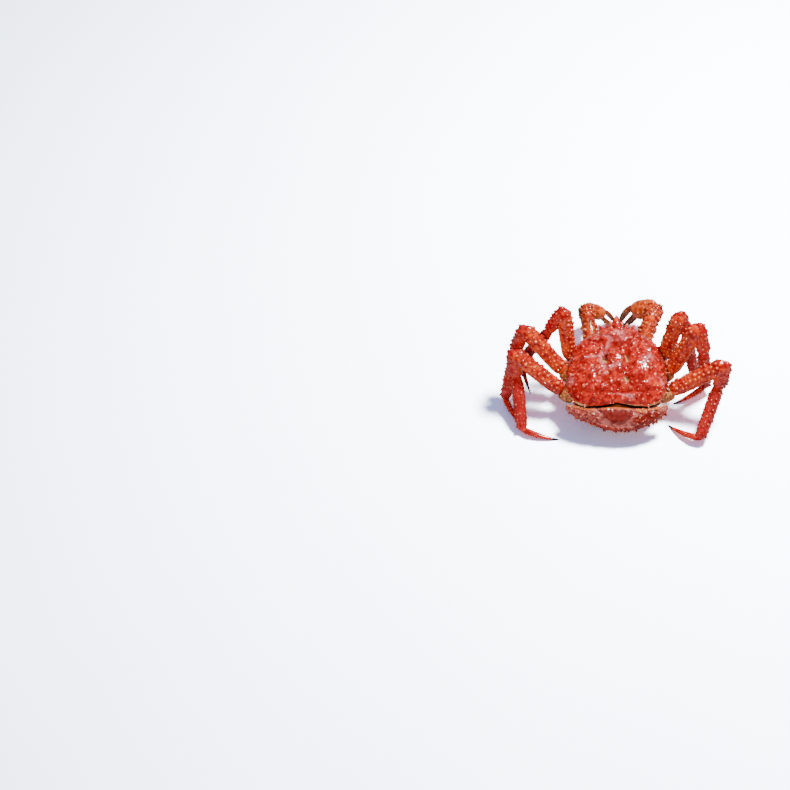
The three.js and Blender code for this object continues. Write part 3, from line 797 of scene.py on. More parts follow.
sharp, blunt = [], []
for x, y, length, radius in large:
    seat = on_dome(x, y, 0.25 * length)
    sharp.append(standing(seat, (dome_normal(x, y) + FORWARD_LEAN).normalized(), radius * 0.8, length))
for x, y, length, radius in small:
    seat = on_dome(x, y, 0.05)
    blunt.append(standing(seat, dome_normal(x, y), radius, length))
for i, share in enumerate(np.linspace(*MARGIN_STRETCH, MARGIN_COUNT)):
    row = int(share * (len(OUTLINE) - 1))
    rim, ahead = OUTLINE[row], OUTLINE[row + 1]
    run = (ahead - rim) / np.linalg.norm(ahead - rim)
    grown = 1 if i % 2 == 0 else 0.62
    for side in (-1, 1):
        out = Vector((-side * run[1], run[0], 0.35)).normalized()
        seat = (side * (rim[0] - 1.5), rim[1], float(margin_at(rim[1])) + 2)
        sharp.append(standing(seat, out, 2.9 * grown, 8 * grown))
seat, lean, length, radius = BEAK
beak = planted("beak", spine_model, [standing(seat, heading(*lean), radius, length)])
mark(beak, "tip", marks_of(beak, "tip") * 0.3)
for seat, (azimuth, rise), length, radius in BEAK_SIDES:
    for side in (-1, 1):
        foot = on_dome(side * seat[0], seat[1], -1)
        sharp.append(standing(foot, mirrored(azimuth, rise, side), radius, length))
print("spines to plant:", len(sharp), "sharp,", len(blunt), "blunt")

# %% [markdown]
# ## The face under the front rim
# Under the rim the shell slopes back to the mouth. The eyes and the feelers come out of dark
# hollows there, and small tubercles cover the rest. A ray shot from the front finds the slope for
# each tubercle, since this face isn't part of the dome's height. The breastplate and the flap
# use the same tool later.

# %% Strew tubercles over the face
FACE_COUNT = 130
FAR_OFF = 200
# Each hollow on the right side: its middle across and up, and its radius
FACE_HOLLOWS = [(15, 69, 7), (26, 66, 6), (4.5, 66, 4)]


def hollows(x, z):
    """1 in the middle of each hollow of the face, fading to 0 outside."""
    deepest = np.zeros(np.shape(x))
    for middle_x, middle_z, radius in FACE_HOLLOWS:
        gap = np.hypot(np.abs(x) - middle_x, z - middle_z) / radius
        deepest = np.maximum(deepest, np.exp(-(gap**2)))
    return deepest


def strewn(piece, starts, way, smallest, largest):
    """Tubercles wherever a ray from one of the starts meets the piece."""
    bpy.context.view_layer.update()
    spots = []
    for start in starts:
        hit, place, normal, _ = piece.ray_cast(Vector(start), Vector(way))
        size = RANDOM.uniform(smallest, largest)
        if hit:
            spots.append(standing(place - normal * 0.15, normal, size, size))
    return planted(f"{piece.name}_tubercles", tubercle_model, spots)


face_x = RANDOM.uniform(-64, 64, FACE_COUNT)
face_z = RANDOM.uniform(50, 76, FACE_COUNT)
clear = hollows(face_x, face_z) < 0.3
from_front = [(x, FAR_OFF, z) for x, z in zip(face_x[clear], face_z[clear])]
face_tubercles = strewn(shield, from_front, (0, -1, 0), 1.1, 2.6)
print("tubercles tried on the face:", len(from_front))

# %% [markdown]
# ## Streaks, patches and pits
# This crab's shell isn't evenly red. Pale pink streaks are painted along the grooves and over the
# gills as highlights, where the wet shell shines. Some swellings are nearly crimson, and darker
# patches are painted as shade round the rear bosses and in the hollow behind the stomach. A few
# small places are cream, and the pits are painted almost black as the shade inside them. Painting
# them would need an image. Here each is a short path with a width, and a corner's mark fades with
# its distance from the path, so the streaks have soft edges and stay part of the material.

# %% List the streaks, patches and pits
# Each streak or patch on the dome: how strong, its half width and its path
# Painted highlights: pale pink streaks and patches where the wet shell shines.
PAINTED_HIGHLIGHT_STREAKS = [
    (0.9, 3.2, [(-10, 58), (-17, 49), (-24, 37), (-30, 26), (-27, 12), (-20, 1), (-10, 0), (5, 9)]),
    (0.9, 2.4, [(-36, 80), (-27, 72), (-19, 67), (-12, 62)]),
    (0.85, 9, [(2, 72), (7, 66)]),
    (0.8, 2.4, [(-55, 20), (-46, 23), (-36, 22)]),
    (0.8, 6.5, [(52, 15), (60, 26)]),
    (0.9, 2.6, [(3, -44), (12, -48), (30, -50)]),
    (0.7, 5, [(-83, -12), (-80, -18)]),
    (0.7, 3, [(78, -14), (83, -22)]),
]
# Darker patches: a crimson tone on the gills, and painted shade round the rear bosses and in the hollow
# behind the stomach.
DEEP_TONE_AND_SHADE_PATCHES = [
    (0.7, 8, [(-48, -22), (-57, -34)]),
    (0.7, 6, [(-26, -38), (-22, -36)]),
    (0.7, 6, [(25, -40), (30, -38)]),
    (0.7, 8, [(46, -18), (50, -34)]),
    (0.9, 4.5, [(63, 8), (66, 11)]),
    (0.6, 5, [(3, -8), (9, -6)]),
    (0.7, 6, [(-12, 45), (12, 45)]),
]
CREAM_SPOTS = [
    (0.9, 2.8, [(-20, 23), (-21, 14)]),
    (0.9, 1.8, [(17, 31), (20, 17)]),
    (0.9, 2.2, [(16, -20), (19, -24)]),
]
# Pits painted almost black, as the shade inside them.
PAINTED_PIT_SHADE = [
    (0.8, 3, [(-17, 37), (-20, 28)]),
    (0.5, 2, [(15, 30), (17, 20)]),
    (0.8, 2.4, [(18, -18), (22, -20)]),
]
print("streaks and patches:", sum(map(len, (PAINTED_HIGHLIGHT_STREAKS, DEEP_TONE_AND_SHADE_PATCHES, CREAM_SPOTS, PAINTED_PIT_SHADE))))

# %% [markdown]
# ## The finished carapace
# The shield and its spines are joined, and every corner gets its marks: painted shade in the
# grooves, round the spines and in the eyes' hollows, the painted highlight streaks, the pale rim
# over the legs and painted shade in the gap at the rear. At last the rear rim is drawn up into its
# notch and the eyes' hollows are pushed in.

# %% Join, mark and settle the carapace
def foot_crease_shade(x, y):
    """The painted shade in the creases round the spines' mounds."""
    ring = np.zeros(np.shape(x))
    for seat_x, seat_y, length, radius in large + small:
        gap = np.hypot(x - seat_x, y - seat_y) / radius
        ring = np.maximum(ring, min(1, length / 3) * np.exp(-(((gap - 1.5) / 0.45) ** 2)))
    return ring


carapace = join(
    shield,
    face_tubercles,
    beak,
    planted("sharp_spines", spine_model, sharp),
    planted("blunt_spines", tubercle_model, blunt),
)
places = points_of(carapace)
rim_gap = places[:, 2] - margin_at(places[:, 1])
above = smoothstep(rim_gap, 2, 8)
x, y = places[:, 0], places[:, 1]
# The grooves and the creases round the spines' feet are painted darker as shade, and the darker patches
# partly so.
furrow_shade = np.clip(groove_depth(x, y) / 3.6, 0, 1) * 0.8
creases = np.maximum(np.maximum(furrow_shade, streaked(x, y, DEEP_TONE_AND_SHADE_PATCHES)), 0.5 * foot_crease_shade(x, y)) * above
bare = marks_of(carapace, "tip") < 0.01
mark_more(carapace, "deep_tone_and_crease_shade", creases * bare)
# The eyes' hollows are painted deep red as shade, and pushed in at the end.
facing = smoothstep(y, 80, 90) * smoothstep(-rim_gap, 0, 3)
socket = hollows(x, places[:, 2]) * facing
mark_more(carapace, "deep_tone_and_crease_shade", 0.95 * socket)
# The frost mark here is painted highlight: pale pink streaks where the wet shell shines.
mark(carapace, "tint_and_painted_light", streaked(x, y, PAINTED_HIGHLIGHT_STREAKS) * above)
at_rear = smoothstep(-y, 14, 28)
at_corners = np.maximum(smoothstep(np.abs(x), 48, 62), 0.6 * smoothstep(-np.abs(x - 27), -20, -14))
rim_band = smoothstep(-np.abs(rim_gap - 1.2), -2.6, -1.4)
mark(carapace, "bristle", at_rear * at_corners * rim_band * 0.9)
# The gap under the rear rim is painted near black, as the shade in it.
painted_gap_shade = smoothstep(-rim_gap, 0.2, 1.2) * (1 - 0.5 * smoothstep(-rim_gap, 6, 12))
mark(carapace, "horn_and_painted_shade", at_rear * painted_gap_shade * (1 - 0.5 * smoothstep(np.abs(x), 66, 80)))
# The pits are painted near black as shade; the cream spots below are the shell's own.
mark_more(carapace, "horn_and_painted_shade", streaked(x, y, PAINTED_PIT_SHADE) * above)
mark_more(carapace, "bristle", streaked(x, y, CREAM_SPOTS) * above)
mark(carapace, "belly", smoothstep(-rim_gap, -1, 5))
notch = np.exp(-(((x - 2) / 17) ** 2)) * smoothstep(-y, 38, 52)
moved = places + notch[:, None] * np.array(NOTCH_SHIFT)
move_points(carapace, moved - socket[:, None] * np.array(SOCKET_DEPTH))
carapace.name = "carapace_shell"
settle(carapace, carapace_red, "carapace")
print("carapace:", len(carapace.data.polygons), "faces,", len(sharp) + len(blunt), "spines")

# %% [markdown]
# ## How a limb segment is made
# Every leg segment is a tube of shell, narrow at its joint and swollen behind it. It could be a
# lathed profile, but extruding a small disc ring by ring keeps each ring at hand, to be widened,
# flattened or pulled into a ridge. Subdivision then rounds the cage, and a soft displacement
# takes away the lathe-turned look. The cage is made a little large, since rounding shrinks it.

# %% Make the tools for segments
CAGE_SIDES = 12
ROUNDING = 2 / 3 + math.cos(2 * math.pi / CAGE_SIDES) / 3


def turned(name, size, rings):
    """A disc extruded along Y through rows of (share of the length, share of the radius)."""
    width, length, thickness = size
    first_at, first_radius = rings[0]
    piece = added(
        bpy.ops.mesh.primitive_circle_add,
        name,
        vertices=CAGE_SIDES,
        radius=first_radius,
        fill_type="TRIFAN",
        location=(0, first_at * length, 0),
        rotation=(math.pi / 2, 0, 0),
    )
    bpy.ops.object.mode_set(mode="EDIT")
    bpy.ops.mesh.select_all(action="SELECT")
    for (start, before), (end, after) in zip(rings, rings[1:]):
        step = (0, (end - start) * length, 0)
        bpy.ops.mesh.extrude_region_move(TRANSFORM_OT_translate={"value": step})
        bpy.ops.transform.resize(value=(after / before, 1, after / before))
    close(piece)
    open_with(piece)
    full_size = (width / 2 / ROUNDING, 1, thickness / 2 / ROUNDING)
    bpy.ops.transform.resize(value=full_size, center_override=(0, 0, 0))
    close(piece)
    return piece


def subdivide(piece, levels):
    apply_new(piece, "SUBSURF", levels=levels, render_levels=levels)


def pull_ridge(piece, angle, reach, amount):
    """Pulls the corners near one side of the tube outwards, into a rounded ridge."""
    places = points_of(piece)
    out = np.array([math.cos(math.radians(angle)), math.sin(math.radians(angle))])
    radius = np.maximum(np.hypot(places[:, 0], places[:, 2]), 1e-6)
    facing_out = (places[:, [0, 2]] @ out) / radius
    open_with(piece, (facing_out > math.cos(math.radians(reach))) & (radius > 3))
    bpy.ops.transform.translate(value=(amount * out[0], 0, amount * out[1]))
    close(piece)


print("rounding keeps", round(ROUNDING, 3), "of the cage's radius")

# %% [markdown]
# ## Planting spines on a tube
# A ray shot from outside towards the tube's axis finds the surface and its normal, wherever the
# ridges and swellings are. Each row of spines is a direction round the tube, where 0 is the outer
# bend of the leg, with a stretch along it, a count and a size. Sizes and places vary a little.

# %% Make the tool that plants rows
SPINE_LEAN = 0.45
OUTSIDE = 60


def surface_at(piece, along, angle):
    """Where a ray from outside, at an angle round the tube, meets it, and the normal there."""
    turned_to = math.radians(angle)
    out = Vector((math.cos(turned_to), 0, math.sin(turned_to)))
    hit, place, normal, _ = piece.ray_cast(Vector((0, along, 0)) + out * OUTSIDE, -out)
    return (place, normal) if hit else None


def paint_foot_shade(piece, feet):
    """Paints shade round the foot of each spine, as a dark ring."""
    places = points_of(piece)
    ring = np.zeros(len(places))
    for seat, radius in feet:
        gap = np.linalg.norm(places - seat, axis=1) / radius
        ring = np.maximum(ring, 0.65 * np.exp(-(((gap - 1.3) / 0.4) ** 2)))
    mark_more(piece, "deep_tone_and_crease_shade", ring)


def planted_rows(piece, size, rows):
    """Returns the piece joined with its rows of spines, marked for the materials."""
    bpy.context.view_layer.update()
    seats = {"sharp": [], "blunt": []}
    feet = []
    for angle, first, last, count, height, radius, kind in rows:
        for i in range(count):
            share = first + (last - first) * (i + 0.5 + RANDOM.uniform(-0.22, 0.22)) / count
            found = surface_at(piece, share * size[1], angle + RANDOM.uniform(-9, 9))
            if not found:
                continue
            place, normal = found
            grown = RANDOM.uniform(0.6, 1.2)
            direction = (normal + Vector((0, SPINE_LEAN, 0))).normalized()
            seat = standing(place - normal * 0.25, direction, radius * grown, height * grown)
            seats[kind].append(seat)
            feet.append((np.array(place), radius * grown))
    paint_foot_shade(piece, feet)
    models = {"sharp": spine_model, "blunt": tubercle_model}
    return join(piece, *(planted("spines", models[kind], seats[kind]) for kind in seats if seats[kind]))


def mark_sides(piece, size, thinness):
    """Marks how thin and orange the shell is, most on the inner side of the bend, and a dark joint."""
    places = points_of(piece)
    inner = -places[:, 0] / (size[0] / 2)
    share = places[:, 1] / size[1]
    mark(piece, "belly", thinness + 0.4 * smoothstep(inner, 0.55, 1))
    hidden = smoothstep(-share, -0.035, 0.01) * smoothstep(inner, -0.2, 0.4)
    mark_more(piece, "deep_tone_and_crease_shade", hidden)


def mark_under(piece):
    """Marks down-facing sides as thinner, paler shell, and paints forward faces paler as light."""
    normals = np.empty(len(piece.data.vertices) * 3, np.float32)
    piece.data.vertices.foreach_get("normal", normals)
    normals = normals.reshape(-1, 3)
    front = 0.35 * smoothstep(normals[:, 1], 0.5, 0.95)
    under = 0.8 * smoothstep(-normals[:, 2], 0.1, 0.8)
    mark_more(piece, "belly", np.maximum(front, under))


print("row tool ready")

# %% [markdown]
# ## The walking legs' segments
# A leg has six segments. The coxa and ischium are short and pale, next to the body. The merus is
# long and flattened, with a spiny ridge on the outer bend. The carpus is the short knee. The
# propodus is the slender shin, and the dactyl is the walking claw with its black point. Tables
# give each one's size, its rings and its rows of spines.

# %% State the segments
SEGMENT_SIZE = {
    "coxa": (31, 26, 28),
    "ischium": (31, 28, 27),
    "merus": (30, 112, 25),
    "carpus": (24, 52, 21),
    "propodus": (23, 96, 19),
    "dactyl": (13, 70, 11),
}
# Each ring: its share of the length and of the radius
SEGMENT_RINGS = {
    "coxa": [(-0.1, 0.4), (0, 0.72), (0.2, 0.92), (0.5, 1), (0.75, 0.98), (0.95, 0.84), (1.05, 0.5)],
    "ischium": [(-0.1, 0.4), (0, 0.8), (0.2, 0.93), (0.5, 1), (0.8, 1), (0.93, 0.88), (1.04, 0.5)],
    "merus": [
        (-0.035, 0.35), (-0.01, 0.68), (0.03, 0.82), (0.1, 0.95), (0.3, 0.98), (0.6, 0.97),
        (0.84, 1.02), (0.92, 1.0), (0.965, 0.82), (0.99, 0.7), (1.02, 0.4),
    ],
    "carpus": [
        (-0.14, 0.1), (-0.13, 0.3), (-0.1, 0.48), (-0.05, 0.64), (0.04, 0.79), (0.18, 0.93),
        (0.45, 1), (0.75, 1.02), (0.9, 0.96), (0.97, 0.78), (1.04, 0.4),
    ],
    "propodus": [
        (-0.05, 0.35), (-0.02, 0.66), (0.04, 0.84), (0.14, 1), (0.4, 0.97),
        (0.7, 0.9), (0.9, 0.88), (0.96, 0.78), (1.0, 0.6), (1.025, 0.3),
    ],
    "dactyl": [
        (-0.07, 0.35), (-0.03, 0.7), (0.03, 0.92), (0.12, 1), (0.3, 0.9),
        (0.5, 0.72), (0.7, 0.5), (0.86, 0.3), (0.95, 0.16), (0.99, 0.06),
    ],
}


def both(angle, *row):
    """The same row of spines on both sides of the outer bend."""
    return (angle, *row), (-angle, *row)


# Each row of spines: angle, first and last share of the length, count, length, radius and kind
SEGMENT_ROWS = {
    "coxa": [
        (0, 0, 0.9, 3, 3, 2.6, "blunt"),
        *both(30, 0.1, 1, 3, 3.4, 2.2, "sharp"),
        (90, 0, 0.9, 3, 3.4, 2.4, "sharp"),
        (120, 0.1, 1, 3, 3, 2.4, "blunt"),
        (0, 0.2, 1, 3, 2.6, 2.7, "blunt"),
        *both(60, 0.2, 1, 3, 2.6, 2.7, "blunt"),
    ],
    "ischium": [
        (0, 0.15, 1, 3, 4.2, 3, "sharp"),
        *both(45, 0.1, 1, 3, 3.6, 2.9, "blunt"),
        *both(90, 0.1, 1, 3, 3.4, 2.8, "sharp"),
    ],
    "merus": [
        (0, 0.06, 0.98, 9, 4.7, 3.4, "sharp"),
        (32, 0.08, 0.95, 9, 2.8, 3.2, "blunt"),
        (-32, 0.04, 0.97, 9, 2.8, 3.2, "blunt"),
        (62, 0.05, 0.97, 10, 3, 2.9, "blunt"),
        (-62, 0.08, 0.95, 10, 3, 2.9, "blunt"),
        *both(92, 0.05, 0.96, 9, 3.6, 2.8, "sharp"),
        *both(122, 0.1, 0.9, 7, 1.6, 2.2, "blunt"),
        *both(150, 0.12, 0.9, 6, 1.4, 1.9, "blunt"),
        (180, 0.16, 0.86, 5, 1.3, 1.8, "blunt"),
    ],
    "carpus": [
        (0, -0.1, 1, 7, 3.3, 3.1, "sharp"),
        *both(34, 0.12, 0.96, 5, 3.3, 2.9, "blunt"),
        *both(68, 0.1, 0.96, 5, 3.0, 2.9, "sharp"),
        *both(105, 0.15, 0.9, 4, 2.1, 2.5, "blunt"),
    ],
    "propodus": [
        (0, 0.05, 0.97, 10, 3.1, 2.5, "sharp"),
        *both(36, 0.06, 0.95, 9, 2.5, 2.6, "blunt"),
        *both(72, 0.05, 0.97, 9, 2.9, 2.4, "sharp"),
        *both(110, 0.08, 0.95, 8, 2.5, 2.3, "blunt"),
        *both(145, 0.06, 0.95, 9, 2.5, 2.1, "blunt"),
        (180, 0.1, 0.97, 8, 2.4, 2.1, "sharp"),
    ],
    "dactyl": [
        (0, 0.08, 0.5, 4, 1.9, 1.9, "sharp"),
        *both(50, 0.06, 0.45, 4, 1.6, 1.7, "blunt"),
        *both(150, 0.12, 0.74, 9, 1.8, 0.7, "sharp"),
    ],
}
# Each ridge: the angle it stands at, how far to its sides it reaches and how high it is pulled
RIDGES = {
    "coxa": [(90, 20, 1.0)],
    "ischium": [(90, 20, 1.0), (-90, 20, 1.0)],
    "merus": [(0, 20, 1.6), (90, 20, 0.8), (-90, 20, 0.8)],
    "carpus": [(0, 20, 1.2), (60, 20, 0.7), (-60, 20, 0.7)],
    "propodus": [(0, 20, 0.9), (72, 20, 0.5), (-72, 20, 0.5)],
    "dactyl": [(0, 20, 0.4)],
}
THINNESS = {
    "coxa": 0.2, "ischium": 0.2, "merus": 0.15, "carpus": -0.05, "propodus": -0.35, "dactyl": -0.2,
}
# The frost tint on the legs is a deeper crimson: partly the segments' own colour, partly painted shade,
# since the steep shins get less light.
CRIMSON_TINT_AND_SHADE = {"carpus": 0.4, "propodus": 0.8, "dactyl": 0.4}
print("rows of spines:", {kind: len(rows) for kind, rows in SEGMENT_ROWS.items()})

# %% [markdown]
# ## One model of each segment
# Each segment is modelled once, at the size of a middle leg, and copied afterwards.

# %% Shape the segments once
segment_models = {}
for kind, size in SEGMENT_SIZE.items():
    model = turned(f"{kind}_model", size, SEGMENT_RINGS[kind])
    for angle, reach, amount in RIDGES[kind]:
        pull_ridge(model, angle, reach, amount)
    subdivide(model, 2)
    roughen(model, dimpling, 0.25 if kind == "dactyl" else 0.9)
    roughen(model, granules, -0.2 if kind == "dactyl" else -0.8)
    model = planted_rows(model, size, SEGMENT_ROWS[kind])
    mark_sides(model, size, THINNESS[kind])
    mark(model, "tint_and_painted_light", CRIMSON_TINT_AND_SHADE.get(kind, 0))
    segment_models[kind] = model
    print(kind, len(model.data.polygons), "faces")

# %% [markdown]
# ## The walking claws' black points
# A dactyl is red above and pale below, and its last quarter is black horn. The mark for horn
# starts there, a little ragged. The dactyl is also bowed: its corners move sideways by a low
# arch, highest in the middle.

# %% Mark the horn and bow the dactyl
DACTYL_BOW = 5
HORN_FROM = 0.74


def bow(piece, length, amount):
    places = points_of(piece)
    share = np.clip(places[:, 1] / length, 0, 1)
    places[:, 0] += amount * 4 * share * (1 - share)
    move_points(piece, places)


dactyl_model = segment_models["dactyl"]
dactyl_length = SEGMENT_SIZE["dactyl"][1]
places = points_of(dactyl_model)
ragged_edge = 0.02 * np.sin(3 * np.arctan2(places[:, 2], places[:, 0]))
horn_share = places[:, 1] / dactyl_length + ragged_edge
mark(dactyl_model, "horn_and_painted_shade", smoothstep(horn_share, HORN_FROM, HORN_FROM + 0.05))
bow(dactyl_model, dactyl_length, DACTYL_BOW)
print("dactyl horn:", int((marks_of(dactyl_model, "horn_and_painted_shade") > 0.5).sum()), "corners")

# %% [markdown]
# ## The folded pose
# The pose was fitted to the picture. Each limb starts at the body, and each segment has an
# azimuth from +X and a height above the horizon. The last one has no height of its own: it slopes
# down until its tip is on the floor. The bend of the leg gives each segment's outer side.

# %% State the pose
# Each limb's root, its next joint and the base of its long segments, on the right side
PAIRS = {
    "claw": [(30, 64, 37), (40, 78, 38), (45, 92, 44)],
    "front": [(46, 44, 37), (68, 52, 43), (86, 58, 60)],
    "middle": [(52, 14, 37), (77, 20, 43), (98, 26, 60)],
    "hind": [(50, -24, 35), (77, -21, 40), (100, -14, 52)],
}
LENGTHS = {
    "front": [105, 50, 92, 66],
    "middle": [115, 54, 99, 72],
    "hind": [114, 52, 97, 73],
    "left_claw": [59, 32, 42, 38],
    "right_claw": [51, 42, 45, 47],
}
POSE = {
    "left_front": [(111, 73), (-146, -52), (-168, -53), (-66,)],
    "left_middle": [(158, 50), (-142, -67), (-118, -62), (-60,)],
    "left_hind": [(157, 34), (-72, -71), (-82, -36), (-13,)],
    "right_front": [(32, 72), (-26, -75), (-51, -74), (-146,)],
    "right_middle": [(21, 63), (-72, -65), (18, -85), (-153,)],
    "right_hind": [(4, 36), (-132, -71), (-114, -34), (143,)],
    "left_claw": [(98, 14), (101, -6), (7, -34), (12,)],
    "right_claw": [(70, 21), (77, -3), (170, -26), (175,)],
}
PAIR_GIRTH = {"front": 0.93, "middle": 1.0, "hind": 1.02}
DACTYL_SIDE = Vector((0, -1, 0.35))


def on_side(place, side):
    return Vector((side * place[0], place[1], place[2]))


def joints_of(base, lengths, angles):
    """The joints of a limb from its base outwards, the last one on the floor."""
    joints = [base]
    for length, (azimuth, *rise) in zip(lengths, angles):
        start = joints[-1]
        to_floor = -math.degrees(math.asin((start.z - TIP_HEIGHT) / length)) if not rise else rise[0]
        joints.append(start + heading(azimuth, to_floor) * length)
    return joints


def laid(model, size, name, start, end, wide, girth):
    """A copy of a model, laid from joint to joint with its X side turned to `wide`."""
    piece = linked(name, model.data.copy())
    along = (end - start).normalized()
    across = (wide - wide.dot(along) * along).normalized()
    turned_to = Matrix((across, along, across.cross(along))).transposed().to_4x4()
    scale = (girth[0] / size[0], (end - start).length / size[1], girth[1] / size[2], 1)
    piece.matrix_world = Matrix.Translation(start) @ turned_to @ Matrix.Diagonal(scale)
    select_only(piece)
    bpy.ops.object.transform_apply(location=True, rotation=True, scale=True)
    return piece


def cut_at_floor(piece):
    """Takes off what would reach under the floor and closes the cut, which leaves a small flat."""
    if points_of(piece)[:, 2].min() < 0:
        open_with(piece)
        bpy.ops.mesh.bisect(plane_co=(0, 0, 0), plane_no=(0, 0, 1), use_fill=True, clear_inner=True)
        bpy.ops.object.mode_set(mode="OBJECT")


print("limbs:", sorted(POSE))

# %% [markdown]
# ## The six walking legs
# Each leg is a chain of copies, one per segment. The coxa and ischium take the pale finish of the
# body's underside, and the rest the red of the legs.

# %% Lay the walking legs
leg_faces = 0
for side_name, side in SIDES:
    for pair in ("front", "middle", "hind"):
        root, joint, base = (on_side(place, side) for place in PAIRS[pair])
        path = [root, joint, *joints_of(base, LENGTHS[pair], POSE[f"{side_name}_{pair}"])]
        fold = (path[3] - path[2]).cross(path[4] - path[3])
        for kind, start, end in zip(SEGMENT_SIZE, path, path[1:]):
            wide = DACTYL_SIDE if kind == "dactyl" else -fold.cross((end - start).normalized())
            size = SEGMENT_SIZE[kind]
            girth = (size[0] * PAIR_GIRTH[pair], size[2] * PAIR_GIRTH[pair])
            node = f"{side_name}_{pair}_{kind}"
            piece = laid(segment_models[kind], size, f"{node}_shell", start, end, wide, girth)
            mark_under(piece)
            cut_at_floor(piece)
            settle(piece, belly_cream if kind in ("coxa", "ischium") else leg_red, node)
            leg_faces += len(piece.data.polygons)
print("legs:", leg_faces, "faces")

# %% [markdown]
# ## The claws' segments
# The claws are stouter and more orange than the legs. The merus and carpus are spiny all over,
# the palm is a swollen hand that carries one fixed finger, and the other finger moves against it.
# The right claw is the larger one, for crushing.

# %% Shape the claws' segments once
CLAW_SIZE = {
    "base": (24, 20, 22),
    "merus": (32, 55, 29),
    "carpus": (33, 37, 29),
    "palm": (33, 44, 28),
    "finger": (10, 42, 9),
}
CLAW_RINGS = {
    "base": [(-0.1, 0.4), (0, 0.75), (0.3, 0.96), (0.6, 1), (0.9, 0.85), (1.05, 0.5)],
    "merus": [
        (-0.05, 0.4), (0, 0.74), (0.1, 0.88), (0.35, 0.94),
        (0.75, 1.02), (0.9, 0.98), (1.0, 0.7), (1.03, 0.4),
    ],
    "carpus": [
        (-0.1, 0.4), (-0.04, 0.66), (0.1, 0.86), (0.35, 0.99),
        (0.7, 1.02), (0.92, 0.9), (1.0, 0.68), (1.05, 0.4),
    ],
    "palm": [
        (-0.12, 0.4), (-0.05, 0.64), (0.08, 0.84), (0.28, 0.97),
        (0.6, 1.02), (0.82, 0.95), (0.96, 0.76), (1.05, 0.4),
    ],
    "finger": [
        (-0.15, 0.4), (-0.06, 0.82), (0.1, 1.08), (0.35, 1.1),
        (0.6, 1.0), (0.8, 0.76), (0.93, 0.46), (0.99, 0.16),
    ],
}


def all_round(step, row, kinds):
    """The same row of spines every few degrees round the tube, its kinds in turn."""
    angles = range(-150, 181, step)
    return [(angle, *row, kinds[i % len(kinds)]) for i, angle in enumerate(angles)]


CLAW_ROWS = {
    "base": both(90, 0.1, 1, 2, 3, 2, "sharp"),
    "merus": all_round(30, (0.08, 1, 5, 3.8, 3.4), ("sharp", "blunt")),
    "carpus": all_round(30, (0.08, 1, 4, 4.2, 3.6), ("blunt", "sharp")),
    "palm": all_round(60, (0, 0.7, 4, 2.3, 2.7), ("blunt",)),
}
CLAW_THINNESS = {"palm": 0.18}
claw_models = {}
for kind, size in CLAW_SIZE.items():
    model = turned(f"claw_{kind}_model", size, CLAW_RINGS[kind])
    subdivide(model, 2)
    roughen(model, dimpling, 0.3 if kind == "finger" else 1.2)
    roughen(model, granules, -0.2 if kind == "finger" else -1.5)
    if kind in CLAW_ROWS:
        model = planted_rows(model, size, CLAW_ROWS[kind])
    mark(model, "belly", CLAW_THINNESS.get(kind, 0))
    claw_models[kind] = model
    print("claw", kind, len(model.data.polygons), "faces")

# %% [markdown]
# ## Fingers, teeth and bristles
# The fingers are brown horn, a little hooked, with blunt pale teeth where they meet and tufts of
# golden bristles along their sides. A bristle is the spine model drawn out thin. Each tuft fans
# out over the finger, towards its point.

# %% Finish the finger
FINGER_BOW = 1.6
TOOTH_COUNT = 7
TOOTH_STRETCH = (0.12, 0.86)
TUFT_SHARES = (0.12, 0.27, 0.42, 0.57, 0.71)
TUFT_ANGLES = (-140, -70, -20, 20, 70, 140)
BRISTLES_IN_TUFT = 7

finger_size = CLAW_SIZE["finger"]
finger_length = finger_size[1]
finger_model = claw_models["finger"]
bpy.context.view_layer.update()
teeth, bristles = [], []
for share in np.linspace(*TOOTH_STRETCH, TOOTH_COUNT):
    start = Vector((-OUTSIDE, share * finger_length, 0))
    _, place, normal, _ = finger_model.ray_cast(start, Vector((1, 0, 0)))
    teeth.append(standing(place - normal * 0.3, normal, 1.7 - share, 1.5 - 0.6 * share))
for share in TUFT_SHARES:
    for angle in TUFT_ANGLES:
        place, normal = surface_at(finger_model, share * finger_length, angle)
        for _ in range(BRISTLES_IN_TUFT):
            fan = Vector(RANDOM.normal(0, 0.24, 3))
            direction = (normal * 0.55 + Vector((0, 0.9, 0)) + fan).normalized()
            bristles.append(standing(place - normal * 0.2, direction, 0.22, RANDOM.uniform(2.4, 4.2)))
tooth_row = planted("teeth", tubercle_model, teeth)
mark(tooth_row, "pale", 1)
tufts = planted("bristles", spine_model, bristles)
mark(tufts, "tip", 0)
mark(tufts, "bristle", 1)
horn_share = smoothstep(points_of(finger_model)[:, 1] / finger_length, 0.35, 0.85)
mark(finger_model, "horn_and_painted_shade", 0.66 + 0.34 * horn_share)
finger_model = join(finger_model, tooth_row, tufts)
bow(finger_model, finger_length, FINGER_BOW)
print("finger:", len(finger_model.data.polygons), "faces")

# %% [markdown]
# ## The claws
# Each claw is a short base, a merus, a carpus and a hand. The fingers start apart at the knuckle
# and close towards their tips. The fixed finger is one piece with the palm, as in life, so the
# two are joined, and the moving finger stays a piece of its own.

# %% Lay the claws
CLAW_GIRTH = {
    "left": {"merus": (31, 28), "carpus": (30, 27), "palm": (29, 25), "finger": (8.5, 8)},
    "right": {"merus": (33, 30), "carpus": (36, 32), "palm": (37, 31), "finger": (11.5, 10)},
}
BASE_GIRTHS = [(24, 22), (23, 21)]
CLAW_SPREAD = {"left": (48, 30), "right": (142, 26)}
KNUCKLE_SHARE = 0.22
TIP_SHARE = 0.4
UPWARD = Vector((0, 0, 1))

